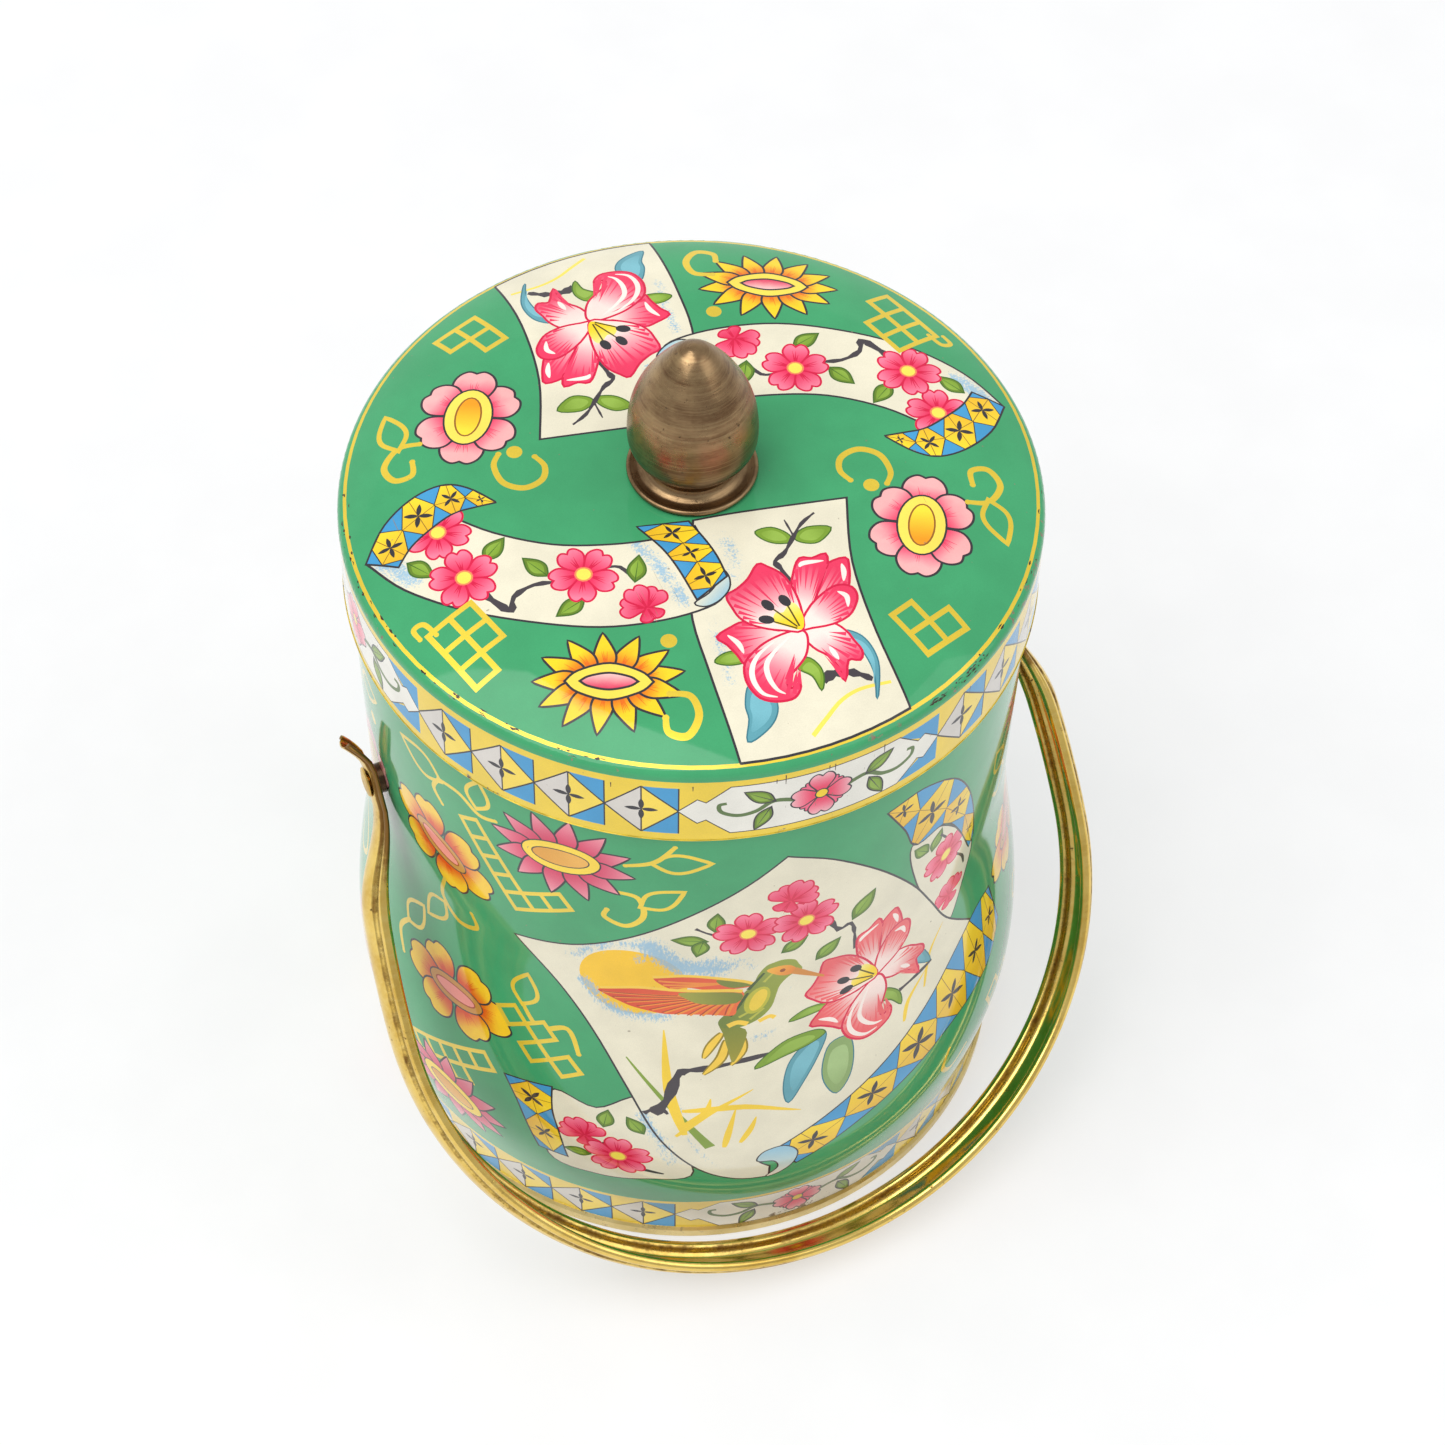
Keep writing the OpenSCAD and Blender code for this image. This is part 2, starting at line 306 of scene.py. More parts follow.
def big_leaf(points, ink=TEAL, edge=DEEP_TEAL):
    """A leaf drawn round its edge, starting at its tip."""
    outline = spline(points, 4, closed=True)
    middle = sum(outline) / len(outline)
    core = [middle + 0.7 * (p - middle) for p in outline]
    light = tuple(min(255, c + 26) for c in ink[:3]) + (0,)
    return edged(outline, Ink(ink), edge, 0.25) + [(core, Ink(light, ink, middle, points[0]))]


def green_leaf(points):
    return big_leaf(points, LEAF, DARK_LEAF)


def twig(points, width):
    """A dark knobbly twig."""
    path = spline(points, 3)
    return [(ribbon(path, lambda t: width * (1 - 0.55 * t) * (1 + 0.35 * math.sin(31 * t))), Ink(BARK))]


def curl(points, width=1.0, dot=None):
    """A gold scroll line with round ends, and a gold dot beside it."""
    motif = [(ribbon(spline(points, 8), lambda t: width * (0.85 + 0.3 * math.sin(math.pi * t))), Ink(GOLD))]
    for end in (points[0], points[-1]):
        motif.append(([p + end for p in ellipse(width * 0.52, steps=12)], Ink(GOLD)))
    if dot is not None:
        motif.append(([p + dot for p in ellipse(1.35, steps=18)], Ink(GOLD)))
    return motif


def hollow_leaf(length, width):
    """A leaf drawn as a gold outline."""
    outline = petal((0.3 + 0.9j, 0.6 + 0.85j, 1 + 0j), length, width / 2, 7)
    return edged(outline, Ink(GREEN), GOLD, 0.85)


def lattice(cells):
    """Open gold squares at whole-numbered places."""
    pitch, weight = 4.3, 0.95

    def square(cell, half):
        return [cell * pitch + half * corner for corner in (1 + 1j, -1 + 1j, -1 - 1j, 1 - 1j)]

    motif = [(square(cell, (pitch + weight) / 2), Ink(GOLD)) for cell in cells]
    return motif + [(square(cell, (pitch - weight) / 2), Ink(GREEN)) for cell in cells]


def pointed_oval(length, width):
    """An eye shape with rounded sides."""
    return petal((0.14 + 0.55j, 0.5 + 1j, 0.86 + 0.55j, 1 + 0j), length, width / 2, 5)


def sunflower():
    """A pointed-petalled flower round an eye-shaped centre, lying along x."""

    def one(length):
        glow = Ink((226, 92, 20, 0), YELLOW, 0.1 * length + 0j, 0.6 * length + 0j)
        motif = edged(petal(POINTED, length, 1.6), glow)
        return motif + streaks(4, 9, 0.6, length * 0.5, ORANGE, 0.34)

    motif = around_oval(13, 4 + 1.6j, 12 + 8.8j, one, 0.5)
    for length, width, ink in (
        (13.6, 6.2, Ink((250, 222, 84, 0))),
        (8.6, 2.6, Ink((226, 70, 100, 0), (250, 196, 190, 0), -1.1j, 1.1j)),
    ):
        motif += moved(edged(pointed_oval(length, width), ink), at=-length / 2 + 0j)
    return motif


def oval_daisy(reach=13.2 + 11j):
    """A pink flower of twelve pointed petals round an oval ring, lying along x."""

    def one(length):
        glow = Ink((214, 62, 98, 0), (240, 158, 168, 0), 0.25 * length + 0j, length + 0j)
        return edged(petal(POINTED, length, 1.95), glow)

    motif = around_oval(12, 4 + 2j, reach, one, 0.5)
    motif += edged(ellipse(7.2, 3.9, 32), Ink((250, 214, 70, 0)), LINE, 0.3)
    eye = Ink((224, 158, 60, 0), (236, 178, 84, 0), -4 + 0j, 4 + 0j)
    motif += edged(ellipse(5.2, 2.1, 28), eye, LINE, 0.25)
    return motif


def six_petal(reach=10.4 + 8.6j, ink=PALE_PINK, foot=ROSE, half_width=3.5):
    """A round-petalled flower of six petals round an oval centre, lying along x."""

    def one(length):
        glow = Ink(foot, ink, 0.25 * length + 0j, 0.7 * length + 0j)
        motif = edged(petal(LOBED, length, half_width, 5), glow, LINE, 0.42)
        return motif + streaks(7, 15, 0.8, length * 0.6, foot, 0.36)

    return around_oval(6, 3 + 1.6j, reach, one)


def pink_flower():
    """A pink flower with a yellow eye."""
    motif = six_petal()
    motif += edged(ellipse(6.1, 3.9, 30), Ink((250, 224, 92, 0)), LINE, 0.35)
    eye = Ink((252, 226, 60, 0), (240, 156, 30, 0), 3 + 0j, -3 + 0j)
    motif += edged(ellipse(4.2, 2, 24), eye, (150, 96, 40, 0), 0.3)
    return motif


def orange_flower(reach=12.8 + 9.8j):
    """An orange flower with a pink eye."""
    motif = six_petal(reach, (250, 204, 44, 0), (222, 74, 18, 0), 4)
    motif += edged(ellipse(6.6, 3, 30), Ink((206, 146, 66, 0)), LINE, 0.3)
    motif += edged(ellipse(4.8, 1.5, 24), Ink((244, 150, 140, 0)), (168, 70, 30, 0), 0.3)
    return motif


LILY_THROAT = 3.6 - 37.8j
LILY_PETALS = (
    [8.3 - 38.3j, 10 - 40.4j, 10.5 - 42.5j, 11 - 44.6j, 10.2 - 45.9j, 8.3 - 45.4j, 6.5 - 48.7j,
     6.6 - 46.3j, 5.8 - 43.7j, 4.2 - 41.5j, 3.6 - 38j],
    [3 - 37.4j, 0 - 36.9j, -2.5 - 35j, -4.6 - 33.3j, -6.7 - 33.5j, -9.4 - 34.4j, -8.5 - 36.2j,
     -7.7 - 38.7j, -7.3 - 40.6j, -5.8 - 39.6j, -3.3 - 38.2j],
    [3.6 - 37j, 5.6 - 33j, 9 - 29.4j, 12.6 - 27.2j, 15.8 - 27j, 15.6 - 28.8j, 14.6 - 31.2j,
     13.4 - 32.6j, 8 - 35j],
    [3.6 - 37j, 5 - 34j, 5.4 - 30j, 7.1 - 26.7j, 9 - 24.5j, 10.8 - 25.2j, 13.1 - 25.1j, 12.5 - 27.1j,
     11.5 - 28.2j, 7.5 - 33.3j],
    [3.6 - 37.4j, 7 - 34j, 10.8 - 32.1j, 12.9 - 31.9j, 14.4 - 32.9j, 14.5 - 34.6j, 13.5 - 36.2j,
     11.7 - 37.7j, 8.7 - 38.3j, 5.4 - 37.9j],
    [3.2 - 38j, 1.2 - 37.7j, -2.1 - 38.1j, -4.6 - 39j, -7.1 - 40.6j, -8.1 - 42.9j, -8.1 - 45j,
     -7.3 - 47.1j, -5.4 - 48.4j, -2.9 - 48.9j, -1.5 - 48.3j, -0.7 - 47.1j, -1.9 - 47.5j, -2.7 - 47.1j,
     -2.5 - 46j, -1.4 - 44.9j, 0.4 - 43.8j, 2.1 - 42.5j, 3.3 - 40.6j, 3.8 - 38.8j],
    [3.6 - 37.8j, 1.2 - 36.9j, -1.3 - 35.6j, -3.5 - 33.8j, -4.6 - 32j, -4.9 - 30j, -4.9 - 27.4j,
     -2.9 - 26.7j, -0.4 - 25.4j, 2.1 - 23.2j, 3.3 - 24.2j, 4.6 - 26j, 5.2 - 28.3j, 5.3 - 31.2j,
     4.8 - 34.6j],
)
LILY_LIGHTS = (
    [7 - 45j, 6.5 - 42.3j], [-7.9 - 34.6j, -6.9 - 36.7j, -6.8 - 38.8j],
    [14.9 - 27.8j, 14.6 - 29.4j, 13.8 - 31.2j], [8.2 - 26j, 9.2 - 25.5j, 12.4 - 26.2j],
    [12 - 32.8j, 13 - 34.2j, 12.4 - 36.2j],
    [-1.4 - 38.4j, -4.6 - 39.8j, -6.6 - 41.8j, -7.3 - 44.2j, -6.7 - 46.7j, -4.8 - 48j],
    [1.2 - 38.4j, -2.1 - 40.2j, -4.2 - 42j, -4.8 - 44.4j, -4.4 - 46.7j, -3.4 - 47.9j],
    [-3.4 - 29.3j, -3.8 - 28j, -1.6 - 27.2j, 0.8 - 26j, 2.8 - 25j],
)


def lily(red=(238, 60, 98, 0)):
    """An open lily with its throat at 0, the face of its cup up and to the left."""
    motif = []
    for points, light in zip(LILY_PETALS, LILY_LIGHTS):
        outline = spline([p - LILY_THROAT for p in points], 3, closed=True)
        reach = max(abs(p) for p in outline)
        tip = max(outline, key=abs)
        motif += edged(outline, Ink((250, 226, 216, 0), red, 0.32 * tip, 0.84 * tip), RED, 0.42)
        for p in outline[::2]:
            if abs(p) > 0.6 * reach:
                inner = 0.42 + 0.34 * dice.random()
                path = [p * 0.96, p * (0.5 + inner / 2), p * inner]
                motif.append((ribbon(path, lambda t: 0.7 * (1 - t) + 0.03), Ink(red)))
        shine = spline([p - LILY_THROAT for p in light])
        shine = ribbon(shine, lambda t: 0.15 + 0.75 * math.sin(math.pi * t))
        motif.append((shine, Ink((252, 236, 226, 0))))
    throat = [0j, -2.2 + 1.6j, -3.6 + 3j, -2.6 + 4.6j, -1.4 + 4.2j, 0.2 + 5.6j, 1.2 + 4.8j, 1.2 + 2j]
    motif += blob(throat, Ink(YELLOW, (251, 236, 150, 0), 2j, 5.6j))
    for at, turn in ((-3.2 + 6.4j, 110), (-0.3 + 6.3j, 104), (-4.5 + 3.8j, 152)):
        motif += line([0.12 * at, 0.85 * at], (90, 80, 30, 0), 0.3)
        motif.append(([at + p * polar(1, turn) for p in ellipse(1.3, 0.85, 16)], Ink(LINE)))
    return motif


def star(reach, turn=0.0):
    """A dark four-petalled star."""
    one = petal((0.2 + 0.75j, 0.55 + 1j, 0.85 + 0.5j, 1 + 0j), reach, reach * 0.17, 3)
    return rosette(4, [(one, Ink(LINE))], turn)


def scroll_edge(upper, lower, cells, star_turn=45):
    """The patterned back of a scroll between two curves: yellow diamonds, dark stars and blue corners."""
    upper, lower = spline(upper), spline(lower)

    def on(curve, u):
        s = min(max(u, 0), 0.99999) * (len(curve) - 1)
        i = int(s)
        return curve[i] + (curve[i + 1] - curve[i]) * (s - i)

    def at(u, v):
        return on(lower, u) + (on(upper, u) - on(lower, u)) * v

    rim = [at(i / 24, 1) for i in range(25)] + [at(i / 24, 0) for i in range(24, -1, -1)]
    motif = edged(rim, Ink(BLUE), LINE, 0.36)
    for i in range(cells):
        left, mid, right = i / cells, (i + 0.5) / cells, (i + 1) / cells
        flat = 0.16 / cells
        corners = [at(left, 0.5), at(mid - flat, 0), at(mid + flat, 0)]
        corners += [at(right, 0.5), at(mid + flat, 1), at(mid - flat, 1)]
        glow = Ink((252, 218, 50, 0), (236, 184, 44, 0), corners[4], corners[1])
        motif += edged(corners, glow, LINE, 0.18)
        across, along = at(mid, 1) - at(mid, 0), corners[3] - corners[0]
        for a, b in ((corners[0], corners[3]), (at(mid, 0), at(mid, 1))):
            motif.append((ribbon([a, b], lambda t: 0.15), Ink((150, 112, 40, 0))))
        reach = 0.36 * min(abs(across), abs(along))
        motif += moved(star(reach, star_turn), at=at(mid, 0.5), turn=math.degrees(cmath.phase(along)))
    return motif


def densified(motif, step):
    """The motif with points added along its longer edges, so that they can follow a curved sheet."""
    out = []
    for outline, ink in motif:
        loop = []
        for a, b in zip(outline, outline[1:] + outline[:1]):
            n = max(1, math.ceil(abs(b - a) / step))
            loop += [a + (b - a) * i / n for i in range(n)]
        out.append((loop, ink))
    return out


class Dust:
    """How thickly the cream ground is stippled with blue, from (path, radius, strength) patches."""

    def __init__(self, patches):
        self.patches = [(np.array(spline(path, 8)), radius, strength) for path, radius, strength in patches]

    def at(self, points):
        amount = np.zeros(points.shape)
        for path, radius, strength in self.patches:
            away = np.min(np.abs(points[..., None] - path), -1) / radius
            amount = np.maximum(amount, strength * np.exp(-(away**2)))
        return amount


# ---------------------------------------------------------------- the lid's picture


LID_GOLD_R = 58.15  # a gold line runs round the lid between these two
LID_FIELD_R = 57.55


def lid_half():
    """Half of the lid's picture: the other half is the same, turned half round."""
    rim = [polar(LID_FIELD_R - 0.15, a) for a in np.linspace(-104.2, -75.2, 9)]
    panel = spline([-4 - 10.8j, 4 - 12j, 21 - 15.4j])
    panel += spline([21 - 15.4j, 16.5 - 28j, 14.6 - 42j, 14.7 - 55.2j])
    panel += rim[::-1] + spline([-14.1 - 55.6j, -13 - 40j, -11 - 27j, -4 - 10.8j])
    art = edged(panel, Ink(CREAM))
    grass = (246, 226, 96, 0)
    art += line([-1.9 - 55.6j, 1.2 - 53.7j, 4.6 - 51.7j, 8.3 - 50.8j, 13.5 - 51j], grass, 0.75, 0.3)
    art += twig([3.1 - 47.5j, 5.4 - 47.1j, 8.3 - 47.9j, 10.8 - 49.8j], 1.9)
    art += big_leaf([
        -11.9 - 53.1j, -10.4 - 50j, -10 - 47.5j, -8.2 - 44.6j, -6 - 46j, -5.4 - 49j, -6.7 - 51.3j,
        -9.2 - 52.7j
    ])
    art += big_leaf([
        10.2 - 53.1j, 12.5 - 48.3j, 12.9 - 45j, 12.1 - 42.1j, 10.2 - 40.4j, 10.8 - 42.5j, 11.5 - 45.8j,
        11.5 - 49.2j
    ])
    art += green_leaf([2.3 - 49j, 3.4 - 47.1j, 3.5 - 45j, 2.3 - 43.1j, 0.2 - 44.2j, 1.9 - 46.4j])
    art += green_leaf([-11.6 - 38.7j, -10 - 37.8j, -7.9 - 38.1j, -7 - 40.2j, -9.6 - 40j])
    art += green_leaf([4.5 - 16.6j, 7.1 - 16.7j, 9 - 18.7j, 9.2 - 20.6j, 6.7 - 20j, 5 - 18.4j])
    art += green_leaf([16.2 - 20.2j, 12.6 - 18.8j, 10 - 19.9j, 10.8 - 21.4j, 13.3 - 22.2j])
    art += twig(
        [5.4 - 28.7j, 5.3 - 25.4j, 5 - 23.5j, 7.1 - 22.4j, 9.6 - 20j, 12.1 - 17.7j, 15 - 16.3j], 1.1
    )
    art += twig([9.9 - 19.8j, 9.8 - 15.9j], 0.5)
    art += moved(lily(), at=LILY_THROAT)

    # the ribbon of blossom, curled over at both ends
    upper = [-41 + 5.5j, -35.5 - 1j, -27.5 - 7j, -18.5 - 10.6j, -10 - 12.4j, -4.5 - 12j]
    lower = [
        -55.6 + 3j, -52 - 5j, -45 - 13.2j, -36 - 20j, -26 - 25.4j, -16 - 27.9j, -7.5 - 27.9j, -3.8 - 25.2j
    ]
    art += edged(spline(upper) + spline(lower[::-1]), Ink(CREAM))
    art += twig([-41.5 - 11j, -39.5 - 15j, -38 - 17j, -36.8 - 14.6j, -33 - 13.6j, -29 - 14.6j], 1.4)
    art += twig([-21 - 14.6j, -18.8 - 15.4j, -17.6 - 18.4j], 0.9)
    art += placed(
        (leaf(5.2, 2.8), -50 - 0.6j, -58),
        (leaf(5.2, 2.8), -38.6 - 5.6j, 34),
        (leaf(5.2, 2.8), -30.3 - 12.6j, 117),
        (leaf(5.2, 2.8), -26.6 - 19.4j, 196),
        (leaf(5.2, 2.8), -17.6 - 19j, 62),
        (blossom(5.2), -43.6 + 3j, 20),
        (blossom(5.4), -42.8 - 7.6j, -6),
        (blossom(5.4), -24.8 - 14.6j, 12),
        (bud(4.6), -17.8 - 24.8j, 8),
    )
    crescent_top = [-55.8 + 3.4j, -51 + 8.6j, -45 + 11.6j, -39.6 + 12j, -36 + 9.6j, -33 + 5.2j]
    crescent_low = [-51.6 - 0.2j, -48.6 + 2.4j, -44.4 + 4.4j, -40 + 5.8j, -36.4 + 5.6j, -33 + 5.2j]
    art += scroll_edge(crescent_top, crescent_low, 4)
    roll = [
        -10.2 - 26.8j, -7.4 - 25.8j, -5 - 24j, -3.7 - 22j, -3.3 - 23.8j, -4.2 - 26j, -6.4 - 27.5j,
        -8.8 - 27.9j
    ]
    art += edged(spline(roll, 4, closed=True), Ink(CREAM, PALE_BLUE, -8 - 25j, -6 - 28j), LINE, 0.3)
    strap_right = [-5 - 10.6j, -4 - 15j, -3.5 - 19j, -3.6 - 23.4j]
    strap_left = [-13 - 8.6j, -10.9 - 14j, -10 - 19j, -9.6 - 26j]
    art += scroll_edge(strap_right, strap_left, 3, 0)

    art += placed(
        (sunflower(), -28.5 - 35.6j, -24),
        (pink_flower(), 30.6 - 24.8j, 62),
        (lattice([0, -1j, -2j, 1 - 1j, 1]), -49 - 16.6j, 17),
    )
    art += curl([-50.4 - 15.6j, -51.6 - 12.8j, -53.4 - 12.9j, -53 - 15j], 0.8)
    art += moved(lattice([0, 1j, 1 + 0j]), at=22.6 - 45.4j, turn=19)
    art += curl(
        [23.4 - 12j, 22.6 - 9.4j, 24 - 6.8j, 27.4 - 6.2j, 30.2 - 8.6j, 30.4 - 12.6j, 28.8 - 14.8j], 1.0,
        26.2 - 14.2j
    )
    art += curl(
        [-20.5 - 41.4j, -17.6 - 43j, -17.6 - 46.6j, -20.4 - 49j, -23 - 47.4j, -22.6 - 45j], 1.1, -17 - 32.2j
    )
    art += curl([40 - 22.6j, 43.6 - 23.4j, 47 - 20.6j, 46.4 - 17j, 43.4 - 16.6j, 42.4 - 19.4j], 1.0)
    art += moved(hollow_leaf(7.6, 3.8), at=43.6 - 23.6j, turn=-94)
    return art


LID_CHIPS = (  # radius, first angle, last angle, count
    (58.9, -72, -58, 34), (58, 160, 236, 46), (58.3, -57, -20, 10),
)


def chips(places):
    """Slivers of missing print round the lid's edge."""
    motif = []
    for radius, first, last, count in places:
        for _ in range(count):
            at = polar(radius + dice.gauss(0, 0.35), dice.uniform(first, last))
            along = 1j * at / abs(at) * dice.uniform(0.1, 0.7)
            width = dice.uniform(0.12, 0.4)
            path = [at - along, at + along * polar(0.2, dice.uniform(0, 360)), at + along]
            sliver = ribbon(path, lambda t: width * math.sin(math.pi * (0.1 + 0.8 * t)))
            motif.append((sliver, Ink((64, 52, 44, 0))))
    return motif


def lid_picture():
    art = []
    for radius, colour in ((LID_GOLD_R, GOLD), (LID_FIELD_R, GREEN)):
        art += [([polar(radius, 360 * i / 96) for i in range(96)], Ink(colour))]
    art += lid_half()
    art += moved(lid_half(), turn=180)
    return art + chips(LID_CHIPS)


LID_DUST = (  # (path, radius, strength)
    ([-1 - 15j, -1.4 - 20j, -2 - 24j], 1.2, 1), ([-9 - 30j, -9.8 - 37j, -10.4 - 43j], 1.1, 0.8),
    ([-53.5 + 1.6j, -50.4 - 4j], 2, 1), ([-14.4 - 12j, -12.4 - 20j, -12 - 26j], 1.5, 1),
    ([11.6 - 41j, 12.2 - 46j], 1, 0.5),
)


def lid_dust(points):
    patches = Dust(LID_DUST)
    return np.maximum(patches.at(points), patches.at(-points))


# ---------------------------------------------------------------- the border on the skirt and the foot

CARTOUCHE = 46  # length of a cartouche
PERIOD = ROUND / 4  # a cartouche and four diamonds, four times round
DIAMOND = (PERIOD - CARTOUCHE) / 4


def daisy(radius):
    """A round flower of four broad petals over four small ones."""
    small = edged(petal(NOTCHED, radius * 0.86, radius * 0.26), Ink(PINK), LINE, 0.25)
    glow = Ink(ROSE, (248, 184, 190, 0), 0.3 * radius + 0j, radius + 0j)
    broad = edged(petal(NOTCHED, radius, radius * 0.42), glow, LINE, 0.28)
    motif = rosette(4, small, 45) + rosette(4, broad)
    return motif + edged(ellipse(1.0, steps=12), Ink(YELLOW), LINE, 0.25)


def sprig():
    """Leaves on a curling stem, growing along -x."""
    stem = (96, 120, 70, 0)
    motif = line([0j, -4 + 1j, -7 - 1j, -10 - 1.6j, -12.6 - 0.4j, -13 + 1.4j, -11.8 + 1.8j], stem, 1.0, 0.3)
    motif += moved(leaf(5.8, 2.6, LEAF, LINE), at=-4 + 1j, turn=146)
    motif += moved(leaf(5.8, 2.4, LEAF, LINE), at=-4.6 - 0.6j, turn=-116)
    return motif


def border(height, middle):
    """Four cartouches and sixteen diamonds round the caddy, height tall about the line y = middle."""
    h = height / 2
    cell = [([s * h * 1j, DIAMOND + s * h * 1j, DIAMOND + 0j], Ink(BLUE)) for s in (1, -1)]
    half = DIAMOND / 2
    cell = moved(cell, stretch=0.5, at=half + 0j)
    cell += [([0j, half - h * 1j, half + h * 1j], Ink((214, 208, 200, 0)))]
    cell += [([half - h * 1j, DIAMOND + 0j, half + h * 1j], Ink((246, 216, 84, 0.3)))]
    corners = [0j, half - h * 1j, DIAMOND + 0j, half + h * 1j]
    for a, b in zip(corners, corners[1:] + corners[:1]):
        cell += [(ribbon([a, b], lambda t: 0.3), Ink(LINE))]
    for a, b in ((corners[1], corners[3]), (DIAMOND - h * 1j, DIAMOND + h * 1j)):
        cell += [(ribbon([a, b], lambda t: 0.25), Ink(LINE))]
    cell += moved(star(0.46 * h), at=half + 0j)

    steps = [0j, 3 + 0.5j * h, 4.4 + 0.36j * h, 8.4 + 1j * h]
    mirrored = [CARTOUCHE - p.conjugate() for p in steps[::-1]]
    upper = steps + mirrored
    outline = upper + [p.conjugate() for p in upper[::-1]]
    label = [
        ([CARTOUCHE - 9 + s * h * 1j, CARTOUCHE + s * h * 1j, CARTOUCHE + 0j], Ink(BLUE)) for s in (1, -1)
    ]
    label += edged(outline, Ink(WHITE), LINE, 0.22)
    middle_x = CARTOUCHE / 2 + 0.5
    label += moved(sprig(), at=middle_x - 4 + 0j)
    label += moved(sprig(), at=middle_x + 4 + 0j, turn=180, flip=True)
    label += moved(daisy(min(5.4, 0.85 * h)), at=middle_x + 0j)

    art = []
    for k in range(4):
        start = LEFT + k * PERIOD
        for i in range(4):
            art += moved(cell, at=complex(start + i * DIAMOND, middle))
        art += moved(label, at=complex(start + 4 * DIAMOND, middle))
    return art


SKIRT_BORDER_H = 12
SKIRT_GREEN = 0.4  # the lid's green runs over its shoulder by this much
SKIRT_GOLD = 1.6  # the gold line above the border
SKIRT_SCRATCHES = (-36, -22.8, -9.3, -7.8, -0.4, 0.6, 9.6, 28.5)


def skirt_picture(low, high):
    """The lid's skirt, from y = low to y = high: gold, the border across it, and its worst scratches."""
    top = high - SKIRT_GREEN
    art = [(band(low, top), Ink(GOLD))]
    art += border(SKIRT_BORDER_H, top - SKIRT_GOLD - SKIRT_BORDER_H / 2)
    for x in SKIRT_SCRATCHES:
        start = complex(x, top - dice.uniform(0.4, 2))
        path = [start, start - dice.uniform(0.6, 3) * 1j]
        art.append((ribbon(path, lambda t: 0.22 - 0.12 * t), Ink((84, 66, 52, 0))))
    return art


def band(low, high):
    return [complex(LEFT, low), complex(RIGHT, low), complex(RIGHT, high), complex(LEFT, high)]


# ---------------------------------------------------------------- the wall's picture


BIRD_BODY = (
    -9.3 + 90.7j, -7.7 + 91.4j, -6 + 91.6j, -4 + 90.7j, -3.2 + 89j, -2.5 + 87j, -4.7 + 86j, -6.5 + 83.7j,
    -7.2 + 81j, -8 + 77.7j, -10 + 75j, -13 + 73.3j, -15.3 + 73.2j, -17.3 + 73.7j, -17.7 + 75.3j,
    -16.7 + 77j, -14.7 + 79.3j, -13.7 + 82.3j, -11.5 + 85.7j, -10.7 + 88.3j,
)
NEAR_WING = (
    -13.3 + 83.7j, -19.3 + 84.9j, -25.3 + 85.1j, -30.3 + 85.1j, -35 + 84.4j, -39.3 + 82.3j, -38 + 81.2j,
    -36 + 80.2j, -33.3 + 79j, -30.3 + 78.3j, -27.3 + 77.7j, -24 + 77.8j, -19 + 77.5j, -15 + 76.8j,
    -14.3 + 79.3j,
)
FAR_WING = (
    -11.5 + 85.3j, -13.5 + 86.9j, -16 + 88.1j, -19.3 + 89j, -23.3 + 89.6j, -27.3 + 89.6j, -29.3 + 88.8j,
    -28.5 + 87.2j, -26 + 85.4j, -23.3 + 86j, -20.3 + 85.3j, -16.7 + 85j, -13.3 + 84.8j,
)
TAIL = (  # each feather's root, middle, tip and width
    (-17 + 72j, -19 + 68.5j, -20.3 + 65.2j, 1.7), (-16.2 + 70j, -17.2 + 65j, -20.3 + 60.8j, 1.8),
    (-13.2 + 70j, -13.4 + 66.4j, -15.4 + 62.8j, 1.5),
)


